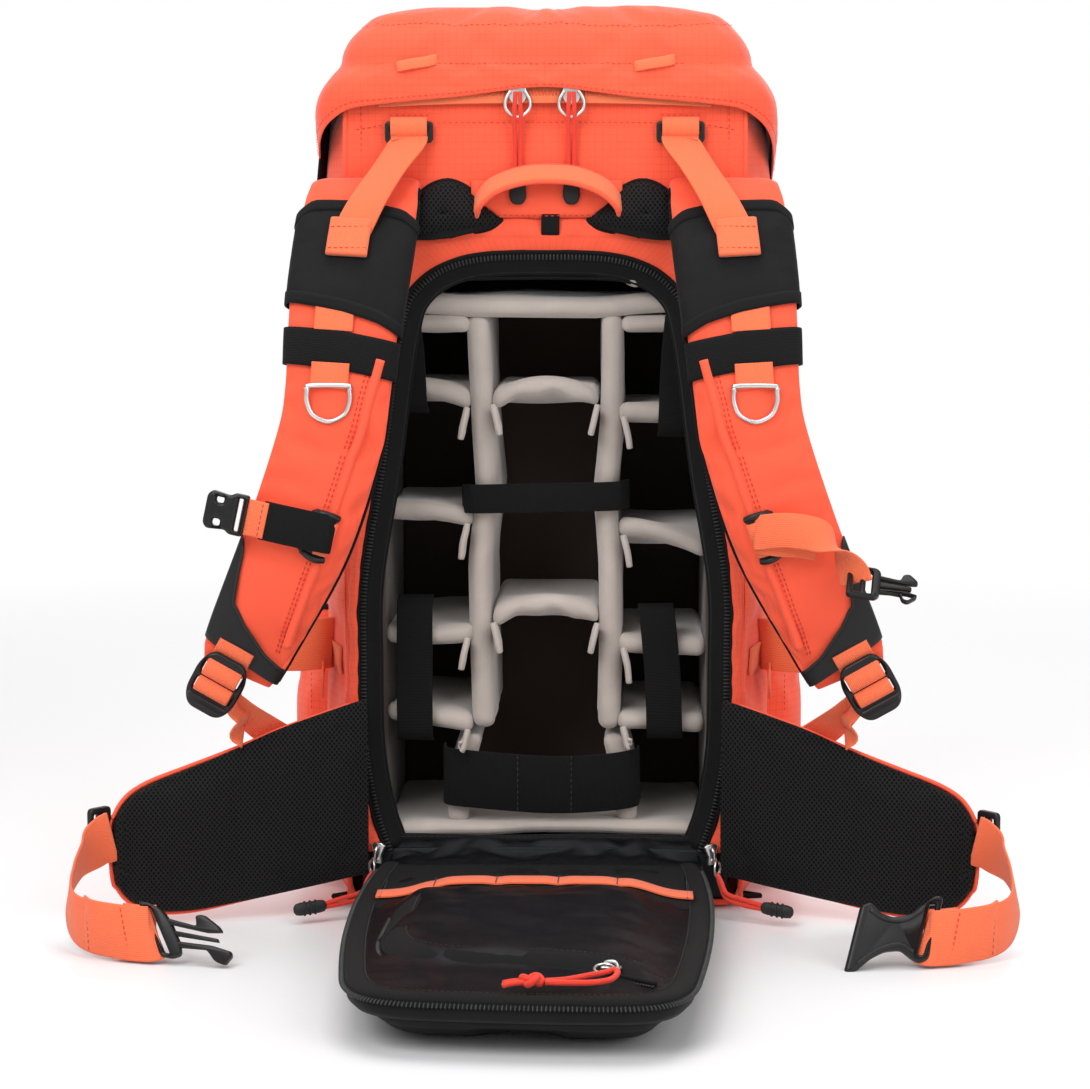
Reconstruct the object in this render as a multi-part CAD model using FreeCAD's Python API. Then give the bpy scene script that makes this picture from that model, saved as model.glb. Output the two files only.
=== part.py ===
import FreeCAD, Part
import math
import os

from FreeCAD import Vector

# Camera backpack with a rear-opening panel, modelled with that panel unzipped and folded down.
# Millimetres. Origin: centre of the flat base, on the ground. +Z is up, -Y is towards the wearer
# (the harness side), +X is the right side when looking at the harness.
# "left" names the -X side and "right" the +X side.

# ---------------------------------------------------------------- driving dimensions
body_top = 585.0              # top edge of the fabric body, under the lid
base_height = 8.0             # padded base
fabric = 5.0                  # fabric with its padding
clear = 2.0                   # air between parts that are sewn or laid together
back_y = -112.0               # outer face of the harness side
front_y = 122.0               # crown of the front panel
back_half_width = 141.0       # body half-width at the harness side
middle_half_width = 156.0     # body half-width at mid depth
front_half_width = 130.0      # body half-width at the front corners
lid_top_z = 650.0
lid_bottom_z = 594.0
lid_half_width = 150.0
yoke_z = 500.0                # seam where the shoulder straps meet the body

# Rear opening: (height, half width) pairs, then a rounded arch on top.
opening_widths = ((40.0, 112.0), (75.0, 122.0), (120.0, 129.0), (240.0, 129.0), (320.0, 116.0), (415.0, 103.0))
opening_top_z = 468.0
arch_flat_half = 55.0         # half-length of the flat run at the top of the arch

# Back panel, which zips into the opening.
panel_hinge_y = -100.0
panel_hinge_z = 44.0
panel_inset = 4.0             # gap between the panel's edge and the opening's edge
panel_low_z = 60.0            # lower edge when closed
panel_corner = 14.0           # cut at the lower corners
panel_pocket_depth = 6.0
strip_low_z = 190.0           # webbing loops across the panel, when closed
strip_high_z = 212.0
panel_board_depth = 13.5
moulded_pad_depth = 21.0
moulded_pad_inset = 16.0
pocket_face_y = panel_hinge_y - 2.0
board_face_y = pocket_face_y - panel_pocket_depth - 0.5
pad_face_y = board_face_y - panel_board_depth - 0.5

# Divider insert.
insert_front_y = -94.0
insert_rear_y = 92.0
insert_half_width = 124.0
insert_low_z = 50.0
insert_top_z = 442.0
foam = 8.0
divider_thickness = 15.0
divider_inner_x = 39.0
shelf_thickness = 12.0
shelf_rear_y = 80.0
left_shelf_heights = (374.0, 286.0, 199.0, 137.0)
right_shelf_heights = (358.0, 269.0, 191.0, 134.0)
centre_shelf_heights = {"centre_shelf_upper": 371.0, "centre_shelf_lower": 213.0}
divider_low_z = 131.0
elastic = 2.0

# Shoulder straps: centre line of the left strap from the yoke down, with its width.
strap_hinge_y = -118.0
strap_hinge_z = 505.0
strap_thickness = 14.0
strap_line = (
    (Vector(-128, -126, 512), 74.0),
    (Vector(-131, -146, 490), 80.0),
    (Vector(-135, -172, 455), 78.0),
    (Vector(-138, -186, 420), 76.0),
    (Vector(-141, -193, 380), 74.0),
    (Vector(-147, -194, 345), 74.0),
    (Vector(-207, -172, 200), 62.0),
)
sleeve_span = (1.0, 2.9)      # stretch sleeve, in steps along strap_line
band_span = (3.05, 3.65)      # elastic band below it
layer_gap = 0.6
layer_thickness = 2.4
rail_span = (5.12, 5.82)
rail_across = 0.5             # share of the half-width towards the inner edge
rail_height = 13.0            # above the strap's middle plane
rail_radius = 2.0
rail_clearance = 0.4
slider_place = 0.38           # share of the way down the rail
slider_size = (26.0, 24.0, 9.0)     # across, along, deep
d_ring_place = 3.95
d_ring_size = (32.0, 27.0)
wire_radius = 1.8

# Hip belt: centre line of the left wing from the pack outwards, with low and high edges.
wing_hinge = Vector(-133, -128, 0)
wing_thickness = 15.0
wing_line = (
    (Vector(-137, -130, 0), 26.0, 153.0),
    (Vector(-182, -146, 0), 19.0, 139.0),
    (Vector(-234, -160, 0), 12.0, 118.0),
    (Vector(-275, -170, 0), 13.0, 100.0),
    (Vector(-294, -175, 0), 22.0, 88.0),
    (Vector(-302, -177, 0), 36.0, 74.0),
)

# Hip webbing: centre line of the left loop from the wing's tip forward and round to the buckle.
hip_strap_hinge = Vector(-307, -187, 0)
hip_buckle_hinge_x = -262.0
hip_strap_y = -285.5
hip_strap_line = (
    (Vector(-310, -193, 0), 44.0, 80.0),
    (Vector(-321, -205, 0), 35.0, 71.0),
    (Vector(-325, -228, 0), 20.0, 56.0),
    (Vector(-317, -258, 0), 8.0, 44.0),
    (Vector(-296, -277, 0), 3.0, 38.0),
    (Vector(-264, -284, 0), 1.5, 36.5),
)

# Webbing and small hardware.
webbing_thickness = 3.0
ladder_size = (34.0, 6.0, 15.0)     # across, deep, high
ladder_x = 95.0
ladder_hinge_y = -117.0
ladder_hinge_z = 567.0
lower_ladder_size = (44.0, 34.0, 7.0)
handle_half = 50.0
handle_low_z = 510.0
handle_rise = 25.0
handle_y = (-138.0, -120.5)
cord_radius = 1.5
lid_slider_x = 19.0
lid_slider_z = 581.0
sternum_hinge_gap = 4.0       # in front of the sternum slider
sternum_start = 4.0           # from the hinge to the webbing's near end
sternum_lengths = (36.0, 52.0)      # left and right webbing
sternum_rise = 9.0            # how far the left webbing's end lies above the slider
sternum_drop = 38.0           # how far the right sternum webbing hangs down


# ---------------------------------------------------------------- shape helpers
def block(x0, x1, y0, y1, z0, z1):
    """A box between two corners, given in any order."""
    low = Vector(min(x0, x1), min(y0, y1), min(z0, z1))
    return Part.makeBox(abs(x1 - x0), abs(y1 - y0), abs(z1 - z0), low)


def soft_block(x0, x1, y0, y1, z0, z1, radius):
    """A box with every edge rounded."""
    solid = block(x0, x1, y0, y1, z0, z1)
    return solid.makeFillet(radius, solid.Edges)


def prism(points, along):
    """A polygon swept along a vector."""
    wire = Part.makePolygon(list(points) + [points[0]])
    return Part.Face(wire).extrude(along)


def plate_xz(points, y0, y1):
    """A plate whose outline is given in the XZ plane."""
    return prism([Vector(x, y0, z) for x, z in points], Vector(0, y1 - y0, 0))


def arc_plate(start, middle, end, thickness_vector, z0, z1):
    """An upright curved plate: an arc in plan, thickened by a vector and swept up."""
    outer = [Vector(p[0], p[1], z0) for p in (start, middle, end)]
    inner = [p + thickness_vector for p in outer]
    edges = [
        Part.Arc(*outer).toShape(),
        Part.makeLine(outer[2], inner[2]),
        Part.Arc(inner[2], inner[1], inner[0]).toShape(),
        Part.makeLine(inner[0], outer[0]),
    ]
    return Part.Face(Part.Wire(edges)).extrude(Vector(0, 0, z1 - z0))


def ribbon(sections):
    """A solid through four-cornered sections, straight between neighbours."""
    wires = [Part.makePolygon(list(s) + [s[0]]) for s in sections]
    return Part.makeLoft(wires, True, True)


def rod(start, end, radius):
    """A round rod between two points."""
    return Part.makeCylinder(radius, (end - start).Length, start, end - start)


def mirrored(shape):
    """The same piece on the other side of the pack."""
    return shape.mirror(Vector(0, 0, 0), Vector(1, 0, 0))


def save(name, *solids):
    """Writes one sub-part, which may be a group of separate solids."""
    shape = solids[0] if len(solids) == 1 else Part.makeCompound(list(solids))
    shape.exportStep("parts/" + name + ".step")


def save_pair(stem, left_solids):
    """Writes NAME_left and its mirror image NAME_right."""
    save(stem + "_left", *left_solids)
    save(stem + "_right", *[mirrored(s) for s in left_solids])


# ---------------------------------------------------------------- body shell
def side_panel():
    """Left side of the body, bowed outwards."""
    start = (-back_half_width, back_y + 8.0)
    middle = (-middle_half_width, 0.0)
    end = (-front_half_width, front_y - 24.0)
    return arc_plate(start, middle, end, Vector(fabric, 0, 0), base_height + clear, body_top)


def front_panel():
    """Front of the body, bowed outwards."""
    reach = front_half_width - 6.0
    corner_y = front_y - 18.0
    return arc_plate(
        (-reach, corner_y), (0.0, front_y), (reach, corner_y),
        Vector(0, -fabric, 0), base_height + clear, body_top,
    )


def base_panel():
    """Flat padded base, bowed like the sides and the front above it."""
    rear = Vector(-back_half_width + fabric, back_y + 9.0, 0)
    side = Vector(-middle_half_width + fabric, 0, 0)
    corner = Vector(-front_half_width + fabric, front_y - 26.0, 0)
    crown = Vector(0, front_y - fabric, 0)
    other = [Vector(-p.x, p.y, 0) for p in (rear, side, corner)]
    outline = Part.Wire([
        Part.Arc(rear, side, corner).toShape(),
        Part.Arc(corner, crown, other[2]).toShape(),
        Part.Arc(other[2], other[1], other[0]).toShape(),
        Part.makeLine(other[0], rear),
    ])
    return Part.Face(outline).extrude(Vector(0, 0, base_height))


def arch_wire(inset, low_z, corner, y):
    """Outline of the rear opening, or of the panel that fills it, in a plane of constant y."""
    def half_width(z):
        for (z0, w0), (z1, w1) in zip(opening_widths, opening_widths[1:]):
            if z <= z1:
                return w0 + (w1 - w0) * (z - z0) / (z1 - z0) - inset
        return opening_widths[-1][1] - inset

    heights = [low_z + corner] + [z for z, _ in opening_widths if z > low_z + corner]
    side = [(half_width(z), z) for z in heights]
    if corner:
        side.insert(0, (half_width(low_z) - corner, low_z))
    shoulder = side[-1]
    top_z = opening_top_z - inset
    bend = (shoulder[0] - 14.0, top_z - 17.0)
    end = (arch_flat_half, top_z)

    right = [Vector(x, y, z) for x, z in side]
    left = [Vector(-x, y, z) for x, z in side]
    edges = [Part.makeLine(a, b) for a, b in zip(right, right[1:])]
    edges.append(Part.Arc(right[-1], Vector(bend[0], y, bend[1]), Vector(end[0], y, end[1])).toShape())
    edges.append(Part.makeLine(Vector(end[0], y, end[1]), Vector(-end[0], y, end[1])))
    edges.append(Part.Arc(Vector(-end[0], y, end[1]), Vector(-bend[0], y, bend[1]), left[-1]).toShape())
    left.reverse()
    edges += [Part.makeLine(a, b) for a, b in zip(left, left[1:])]
    edges.append(Part.makeLine(left[-1], right[0]))
    return Part.Wire(edges)


def arch_plate(inset, low_z, corner, y0, y1):
    """A plate of the opening's shape."""
    return Part.Face(arch_wire(inset, low_z, corner, y0)).extrude(Vector(0, y1 - y0, 0))


def back_surround():
    """Fabric frame round the rear opening, in a left, a right, a top and a bottom piece."""
    low_z = base_height + 4.0
    depth = fabric
    opening = arch_plate(0.0, opening_widths[0][0], 0.0, back_y - 1.0, back_y + depth + 1.0)
    sheet = block(-back_half_width + 1, back_half_width - 1, back_y, back_y + depth, low_z, yoke_z)
    frame = sheet.cut(opening)
    arch_z = opening_widths[-1][0]
    sill_z = opening_widths[0][0] - 1.0
    pieces = [
        block(-200, -0.5, back_y - 5, back_y + 20, sill_z, arch_z),
        block(0.5, 200, back_y - 5, back_y + 20, sill_z, arch_z),
        block(-200, 200, back_y - 5, back_y + 20, arch_z + 0.5, yoke_z),
        block(-200, 200, back_y - 5, back_y + 20, 0, sill_z - 0.5),
    ]
    return [frame.common(piece).Solids[0] for piece in pieces]


def frame_hoop():
    """Aluminium rod bent into an upright hoop inside the harness side."""
    radius = 3.0
    x = 129.0
    y = -101.0
    top_z = 482.0
    bend = 40.0
    drop = bend * (1 - math.sqrt(0.5))
    feet_z = base_height + 6.0
    points = {
        "foot": Vector(-x, y, feet_z), "rise": Vector(-x, y, top_z - bend),
        "knee": Vector(-x + drop, y, top_z - drop), "run": Vector(-x + bend, y, top_z),
    }
    right = {name: Vector(-p.x, p.y, p.z) for name, p in points.items()}
    path = Part.Wire([
        Part.makeLine(points["foot"], points["rise"]),
        Part.Arc(points["rise"], points["knee"], points["run"]).toShape(),
        Part.makeLine(points["run"], right["run"]),
        Part.Arc(right["run"], right["knee"], right["rise"]).toShape(),
        Part.makeLine(right["rise"], right["foot"]),
    ])
    circle = Part.Wire(Part.makeCircle(radius, points["foot"], Vector(0, 0, 1)))
    return path.makePipeShell([circle], True, False)


def opening_zip():
    """Zip teeth and tape that run up one side of the opening, over the arch and down the other."""
    tape_width = 7.0
    tape = 2.0
    y = back_y - tape - 0.3
    low = opening_widths[0][0] + 8.0
    outer = arch_plate(-tape_width, low, 0.0, y, y + tape)
    inner = arch_plate(0.0, low - 1.0, 0.0, y - 1, y + tape + 1)
    return outer.cut(inner)


def side_pocket():
    """Bulging stretch pocket on the left side."""
    wall_x = -(middle_half_width + 1.5)
    return soft_block(wall_x, wall_x - 30.0, -40.0, 62.0, 14.0, 215.0, 9.0)


def compression_webbing():
    """Webbing sleeves of the side compression straps, left side."""
    x = -(middle_half_width + 1.0)
    return [block(x, x - 4.0, -72.0, -45.0, z, z + 34.0) for z in (165.0, 330.0, 455.0)]


def adjuster_webbing():
    """Free part of the lower shoulder webbing, between the pack's lower corner and the buckle."""
    start = (-157.0, 95.0)
    end = (-189.0, 150.0)
    length = math.hypot(end[0] - start[0], end[1] - start[1])
    across = (
        (end[1] - start[1]) / length * webbing_thickness,
        -(end[0] - start[0]) / length * webbing_thickness,
    )
    outline = [
        start, end, (end[0] - across[0], end[1] - across[1]), (start[0] - across[0], start[1] - across[1]),
    ]
    return plate_xz(outline, -96.0, -76.0)


def yoke_pad():
    """Left mesh pad at the yoke."""
    outline = [(-93, 483), (-56, 483), (-56, 500), (-68, 516), (-80, 508), (-93, 494)]
    return plate_xz(outline, back_y - 2.0, back_y - 14.0)


# ---------------------------------------------------------------- divider insert
def insert_shell():
    """Left, right and rear walls, floor and top of the padded insert."""
    inner = insert_half_width - foam
    side = block(-insert_half_width, -inner, insert_front_y, insert_rear_y, insert_low_z, insert_top_z)
    gap = 0.5
    rear = block(-inner + gap, inner - gap, insert_rear_y - foam, insert_rear_y, insert_low_z, insert_top_z)
    rear_face = insert_rear_y - foam - gap
    floor = block(-inner + gap, inner - gap, insert_front_y, rear_face, insert_low_z, insert_low_z + foam)
    top_low = insert_top_z - shelf_thickness
    top = block(-inner + gap, inner - gap, insert_front_y, rear_face, top_low, insert_top_z)
    return [side, mirrored(side), rear, floor, top]


def dividers():
    """The two upright dividers."""
    top = insert_top_z - shelf_thickness - 1.0
    left = block(
        -divider_inner_x - divider_thickness, -divider_inner_x,
        insert_front_y + 2.0, shelf_rear_y, divider_low_z, top,
    )
    return [left, mirrored(left)]


def lower_dividers():
    """The two short dividers that stand on the insert's floor."""
    low = insert_low_z + foam + 1.0
    high = divider_low_z - 7.0
    spans = ((-70.0, -55.0), (48.0, 63.0))
    return [block(x0, x1, insert_front_y + 2.0, shelf_rear_y, low, high) for x0, x1 in spans]


def side_shelves():
    """Padded shelves between the dividers and the insert's side walls."""
    inner = divider_inner_x + divider_thickness + 0.5
    outer = insert_half_width - foam - 0.5
    half = shelf_thickness / 2
    shelves = []
    for side, heights in ((-1, left_shelf_heights), (1, right_shelf_heights)):
        for z in heights:
            shelves.append(block(
                side * inner, side * outer, insert_front_y + 2.0, shelf_rear_y, z - half, z + half,
            ))
    return shelves


def centre_shelf(z):
    """A padded shelf between the two dividers."""
    reach = divider_inner_x - 0.8
    half = shelf_thickness / 2
    return block(-reach, reach, insert_front_y + 2.0, shelf_rear_y, z - half, z + half)


def insert_elastics():
    """Elastic bands across the front of the bays: (x low, x high, z low, z high)."""
    spans = (
        (-56, 57, 288, 309), (-73, 64, 71, 115), (-105, -84, 126, 221),
        (73, 101, 126, 213), (80, 104, 347, 440), (-105, -83, 364, 408),
    )
    y = insert_front_y - 2.0
    return [block(x0, x1, y - elastic, y, z0, z1) for x0, x1, z0, z1 in spans]


# ---------------------------------------------------------------- lid
def lid_top():
    """Zipped lid compartment."""
    return soft_block(-lid_half_width, lid_half_width, -116.0, 112.0, lid_bottom_z, lid_top_z, 22.0)


def lid_skirt():
    """Storm skirt under the lid's edge: front strip and two side strips."""
    front_strip = block(-140.0, 140.0, -126.0, -123.0, 586.0, 600.0)
    x = middle_half_width + 3.0
    side_outline = [(-118.0, 560.0), (-60.0, 536.0), (60.0, 540.0), (95.0, 560.0), (95.0, 600.0), (-118.0, 600.0)]
    side = prism([Vector(-x, y, z) for y, z in side_outline], Vector(-3.5, 0, 0))
    return [front_strip, side, mirrored(side)]


def gatekeeper_loops():
    """Two small webbing loops on the front of the lid."""
    return [block(x - 13.0, x + 13.0, -121.0, -117.0, 604.0, 612.0) for x in (-84.0, 84.0)]


def lid_zip():
    """Zip along the front top edge of the body."""
    return block(-125.0, 125.0, -116.5, -114.0, 582.0, 590.0)


def lid_slider():
    """Left slider body of the lid zip."""
    x = -lid_slider_x
    z = lid_slider_z
    return block(x - 5.0, x + 5.0, -121.0, -117.5, z - 3.0, z + 9.0)


def lid_pull():
    """Cord and rubber tip that hang from the left lid slider."""
    y = -118.0
    x = -lid_slider_x
    cord = rod(Vector(x, y, 531.0), Vector(x, y, lid_slider_z - 4.0), cord_radius)
    tip = block(x - 4.5, x + 4.5, y - 1.5, y + 2.5, 508.0, 531.0)
    return cord.fuse(tip)


# ---------------------------------------------------------------- harness
def grab_handle():
    """Padded webbing handle, an arch between its two sewn ends."""
    thickness = 7.0
    ends = handle_half
    low = Vector(-ends, handle_y[0], handle_low_z)
    top = Vector(0, handle_y[0], handle_low_z + handle_rise)
    inner_low = Vector(-ends + thickness, handle_y[0], handle_low_z)
    inner_top = Vector(0, handle_y[0], handle_low_z + handle_rise - thickness)
    right_low = Vector(-low.x, low.y, low.z)
    right_inner = Vector(-inner_low.x, inner_low.y, inner_low.z)
    wire = Part.Wire([
        Part.Arc(low, top, right_low).toShape(),
        Part.makeLine(right_low, right_inner),
        Part.Arc(right_inner, inner_top, inner_low).toShape(),
        Part.makeLine(inner_low, low),
    ])
    return Part.Face(wire).extrude(Vector(0, handle_y[1] - handle_y[0], 0))


def strap_frames():
    """Centre, half-width vector and front normal of each shoulder strap section."""
    centres = [c for c, _ in strap_line]
    frames = []
    for i, (centre, width) in enumerate(strap_line):
        before = centres[max(i - 1, 0)]
        after = centres[min(i + 1, len(centres) - 1)]
        tangent = (after - before).normalize()
        across = Vector(1, 0, 0) - tangent * tangent.x
        across.normalize()
        frames.append((centre, across * (width / 2), tangent.cross(across)))
    return frames


def strap_frame_at(step):
    """The strap's frame between two sections, on the same ruled surface."""
    frames = strap_frames()
    low = min(int(step), len(frames) - 2)
    share = step - low
    return [a + (b - a) * share for a, b in zip(frames[low], frames[low + 1])]


def strap_point(step, across, height):
    """A point on or above the left strap: across from -1 (outer) to 1 (inner edge)."""
    centre, half, normal = strap_frame_at(step)
    return centre + half * across + normal * height


def strap_layer(steps, low, high, inset=0.0):
    """A layer that follows the left strap between two heights above its middle plane."""
    sections = []
    for step in steps:
        reach = 1.0 - inset
        sections.append([
            strap_point(step, -reach, low), strap_point(step, reach, low),
            strap_point(step, reach, high), strap_point(step, -reach, high),
        ])
    return ribbon(sections)


def steps_between(start, end):
    """The start, every whole step inside, and the end."""
    inside = [float(i) for i in range(int(start) + 1, int(math.ceil(end)))]
    return [start] + inside + [end]


def strap_pad():
    """Left padded shoulder strap."""
    half = strap_thickness / 2
    return strap_layer([float(i) for i in range(len(strap_line))], -half, half)


def strap_sleeve():
    """Stretch sleeve pocket and the elastic band under it, left strap."""
    low = strap_thickness / 2 + layer_gap
    high = low + layer_thickness
    return [strap_layer(steps_between(*span), low, high) for span in (sleeve_span, band_span)]


def rail_ends():
    """The two ends of the left sternum rail's centre line."""
    return [strap_point(step, rail_across, rail_height) for step in rail_span]


def rail_direction():
    """Unit vector down the left rail."""
    top, bottom = rail_ends()
    return (bottom - top).normalize()


def sternum_rail():
    """Left rail for the sternum strap, with its two end posts."""
    top, bottom = rail_ends()
    down = rail_direction()
    _, _, normal = strap_frame_at(rail_span[0])
    reach = rail_height - strap_thickness / 2 - layer_gap
    rail = rod(top, bottom, rail_radius)
    for end, shift in ((top, 1.5), (bottom, -1.5)):
        post_top = end + down * shift
        rail = rail.fuse(rod(post_top, post_top - normal * reach, rail_radius))
    return rail


def local_block(origin, across, along, normal, size):
    """A box centred on a point, with its sides along three perpendicular vectors."""
    w, l, d = size
    corner = origin - across * (w / 2) - along * (l / 2) - normal * (d / 2)
    points = [corner, corner + across * w, corner + across * w + along * l, corner + along * l]
    return prism(points, normal * d)


def rail_frame():
    """Perpendicular axes on the left rail: across, down, and out of the strap."""
    down = rail_direction()
    across = Vector(1, 0, 0) - down * down.x
    across.normalize()
    return across, down, down.cross(across)


def slider_centre():
    """Middle of the left sternum slider on its rail."""
    top, bottom = rail_ends()
    return top + (bottom - top) * slider_place


def sternum_slider():
    """Left slider, bored to run on the rail."""
    across, down, out = rail_frame()
    centre = slider_centre()
    body = local_block(centre, across, down, out, slider_size)
    far = down * slider_size[1]
    bore = rod(centre - far, centre + far, rail_radius + rail_clearance)
    return body.cut(bore)


def sternum_hinge():
    """A point on the upright axis about which the left sternum strap swings."""
    _, _, out = rail_frame()
    front = slider_centre() + out * (slider_size[2] / 2)
    return Vector(round(front.x, 1), round(front.y - sternum_hinge_gap, 1), 0)


def sternum_webbing(length, rise):
    """Elastic and webbing from the left slider outwards; rise lifts its far end."""
    hinge = sternum_hinge()
    z = slider_centre().z
    near = hinge.x - sternum_start
    far = near - length
    outline = [(near, z - 13), (near, z + 13), (far, z + 13 + rise), (far, z - 13 + rise)]
    return plate_xz(outline, hinge.y - webbing_thickness / 2, hinge.y + webbing_thickness / 2)


def sternum_buckle_female():
    """Socket half of the sternum buckle."""
    hinge = sternum_hinge()
    z = slider_centre().z + sternum_rise
    near = hinge.x - sternum_start - sternum_lengths[0] - 1.0
    return block(near, near - 28.0, hinge.y - 4.0, hinge.y + 4.0, z - 14, z + 14)


def sternum_buckle_male():
    """Pronged half of the sternum buckle, built on the left and mirrored by the caller."""
    hinge = sternum_hinge()
    z = slider_centre().z - sternum_drop
    near = hinge.x - sternum_start - sternum_lengths[1] - 1.0
    bar = block(near, near - 16.0, hinge.y - 3.0, hinge.y + 3.0, z - 13, z + 13)
    for offset in (-10.0, 0.0, 10.0):
        low_z = z + offset - 2.5
        prong = block(near - 14.0, near - 40.0, hinge.y - 2.5, hinge.y + 2.5, low_z, low_z + 5.0)
        bar = bar.fuse(prong)
    return bar


def d_ring():
    """Left D-ring: a straight bar and a round bow below it."""
    centre = strap_point(d_ring_place, -0.15, rail_height)
    half = d_ring_size[0] / 2 - wire_radius
    drop = d_ring_size[1] - wire_radius
    left = centre + Vector(-half, 0, 0)
    right = centre + Vector(half, 0, 0)
    bend = drop - half
    bottom = centre + Vector(0, 0, -drop)
    path = Part.Wire([
        Part.makeLine(left, left + Vector(0, 0, -bend)),
        Part.Arc(left + Vector(0, 0, -bend), bottom, right + Vector(0, 0, -bend)).toShape(),
        Part.makeLine(right + Vector(0, 0, -bend), right),
    ])
    circle = Part.Wire(Part.makeCircle(wire_radius, left, Vector(0, 0, 1)))
    bow = path.makePipeShell([circle], True, False)
    bar_radius = wire_radius + 0.5
    overhang = Vector(bar_radius, 0, 0)
    return bow.fuse(rod(left - overhang, right + overhang, bar_radius))


def d_ring_hinge():
    """Middle of the left D-ring's straight bar."""
    return strap_point(d_ring_place, -0.15, rail_height)


def ladder_lock():
    """Left load-lifter buckle: a frame with two bars."""
    across, deep, high = ladder_size
    x = -ladder_x
    y = ladder_hinge_y - 1.5
    top = ladder_hinge_z + 2.0
    frame = block(x - across / 2, x + across / 2, y - deep, y, top - high, top)
    for z in (top - 6.5, top - 12.5):
        window = block(x - across / 2 + 4, x + across / 2 - 4, y - deep - 1, y + 1, z, z + 3.5)
        frame = frame.cut(window)
    return frame


def lifter_webbing():
    """Left load-lifter webbing, from its buckle towards the shoulder strap."""
    start = Vector(-ladder_x - 1.0, ladder_hinge_y - 6.0, ladder_hinge_z - 18.0)
    end = Vector(-125, -158, 507)
    along = (end - start).normalize()
    across = Vector(1, 0, 0) - along * along.x
    across.normalize()
    out = along.cross(across)
    half = across * 11.0
    thick = out * (webbing_thickness / 2)
    return ribbon([
        [p - half - thick, p + half - thick, p + half + thick, p - half + thick] for p in (start, end)
    ])


def lower_ladder_frame():
    """Centre and axes of the left lower buckle, in line with the strap's end."""
    centre, half, normal = strap_frames()[-1]
    before = strap_frames()[-2][0]
    along = (centre - before).normalize()
    across = Vector(1, 0, 0) - along * along.x
    across.normalize()
    middle = centre + along * (lower_ladder_size[1] / 2 + 4.0)
    return middle, across, along, along.cross(across)


def lower_ladder():
    """Left lower buckle: a frame with two slots."""
    middle, across, along, out = lower_ladder_frame()
    w, l, d = lower_ladder_size
    frame = local_block(middle, across, along, out, (w, l, d))
    for shift in (-8.0, 7.0):
        window = local_block(middle + along * shift, across, along, out, (w - 12, 9.0, d + 4))
        frame = frame.cut(window)
    return frame


def lower_ladder_hinge():
    """Middle of the left lower buckle's upper bar."""
    middle, _, along, _ = lower_ladder_frame()
    return middle - along * (lower_ladder_size[1] / 2 - 3.0)


def upright_band(line, thickness):
    """A band standing on edge along a plan line of (point, low edge, high edge)."""
    centres = [centre for centre, _, _ in line]
    sections = []
    for i, (centre, low, high) in enumerate(line):
        before = centres[max(i - 1, 0)]
        after = centres[min(i + 1, len(centres) - 1)]
        tangent = (after - before).normalize()
        side = Vector(-tangent.y, tangent.x, 0) * (thickness / 2)
        sections.append([
            centre - side + Vector(0, 0, low), centre + side + Vector(0, 0, low),
            centre + side + Vector(0, 0, high), centre - side + Vector(0, 0, high),
        ])
    return ribbon(sections)


def hip_wing():
    """Left padded wing of the hip belt."""
    return upright_band(wing_line, wing_thickness)


def hip_strap():
    """Left hip webbing, which loops forward from the wing's tip to the buckle, and its tri-glide."""
    glide = block(-322.0, -309.0, -189.7, -184.0, 60.0, 86.0)
    return [upright_band(hip_strap_line, webbing_thickness), glide]


def hip_buckle_male():
    """Pronged half of the hip buckle, on the left."""
    x = hip_buckle_hinge_x
    y0, y1 = hip_strap_y - 4.0, hip_strap_y + 6.0
    z = 20.0
    bar = block(x, x + 20.0, y0, y1, z - 19, z + 19)
    for offset in (-14.0, 0.0, 14.0):
        prong = block(x + 18.0, x + 50.0, y0 + 2, y1 - 2, z + offset - 3.5, z + offset + 3.5)
        bar = bar.fuse(prong)
    return bar


def hip_buckle_female():
    """Socket half of the hip buckle, on the right, waisted in the middle."""
    x = -hip_buckle_hinge_x
    y0, y1 = hip_strap_y - 5.0, hip_strap_y + 6.0
    z = 21.0
    outline = [
        (x, z - 20), (x, z + 20), (x - 16, z + 20), (x - 26, z + 13), (x - 38, z + 20), (x - 52, z + 20),
        (x - 52, z - 20), (x - 38, z - 20), (x - 26, z - 13), (x - 16, z - 20),
    ]
    return plate_xz(outline, y0, y1)


# ---------------------------------------------------------------- back panel
def folded_down(shape):
    """Turns a piece of the closed back panel down to its open place on the ground."""
    return shape.rotated(Vector(0, panel_hinge_y, panel_hinge_z), Vector(1, 0, 0), 90.0)


def panel_board():
    """Zipped fabric board of the back panel."""
    plate = arch_plate(panel_inset, panel_low_z, panel_corner, board_face_y, board_face_y - panel_board_depth)
    return folded_down(plate)


def panel_pocket():
    """On the board's inner face: a flat sleeve by the hinge, a webbing strip, and a zipped pocket."""
    y = pocket_face_y
    inset = panel_inset + 14.0
    sleeve = block(-92.0, 92.0, y - 3.0, y - panel_pocket_depth, panel_low_z + 34.0, strip_low_z - 2.0)
    strip = block(-108.0, 108.0, y - 3.0, y - panel_pocket_depth, strip_low_z, strip_high_z)
    pocket = arch_plate(inset, strip_high_z + 2.0, panel_corner, y, y - panel_pocket_depth)
    return [folded_down(piece) for piece in (pocket, sleeve, strip)]


def back_pad():
    """Moulded pad on the board's outer face, with a channel down its middle."""
    outer_y = pad_face_y - moulded_pad_depth
    plate = arch_plate(
        panel_inset + moulded_pad_inset, panel_low_z + 18.0, panel_corner, pad_face_y, outer_y,
    )
    channel = block(-12.0, 12.0, outer_y - 1.0, outer_y + 8.0, 0.0, 500.0)
    return folded_down(plate.cut(channel))


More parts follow.
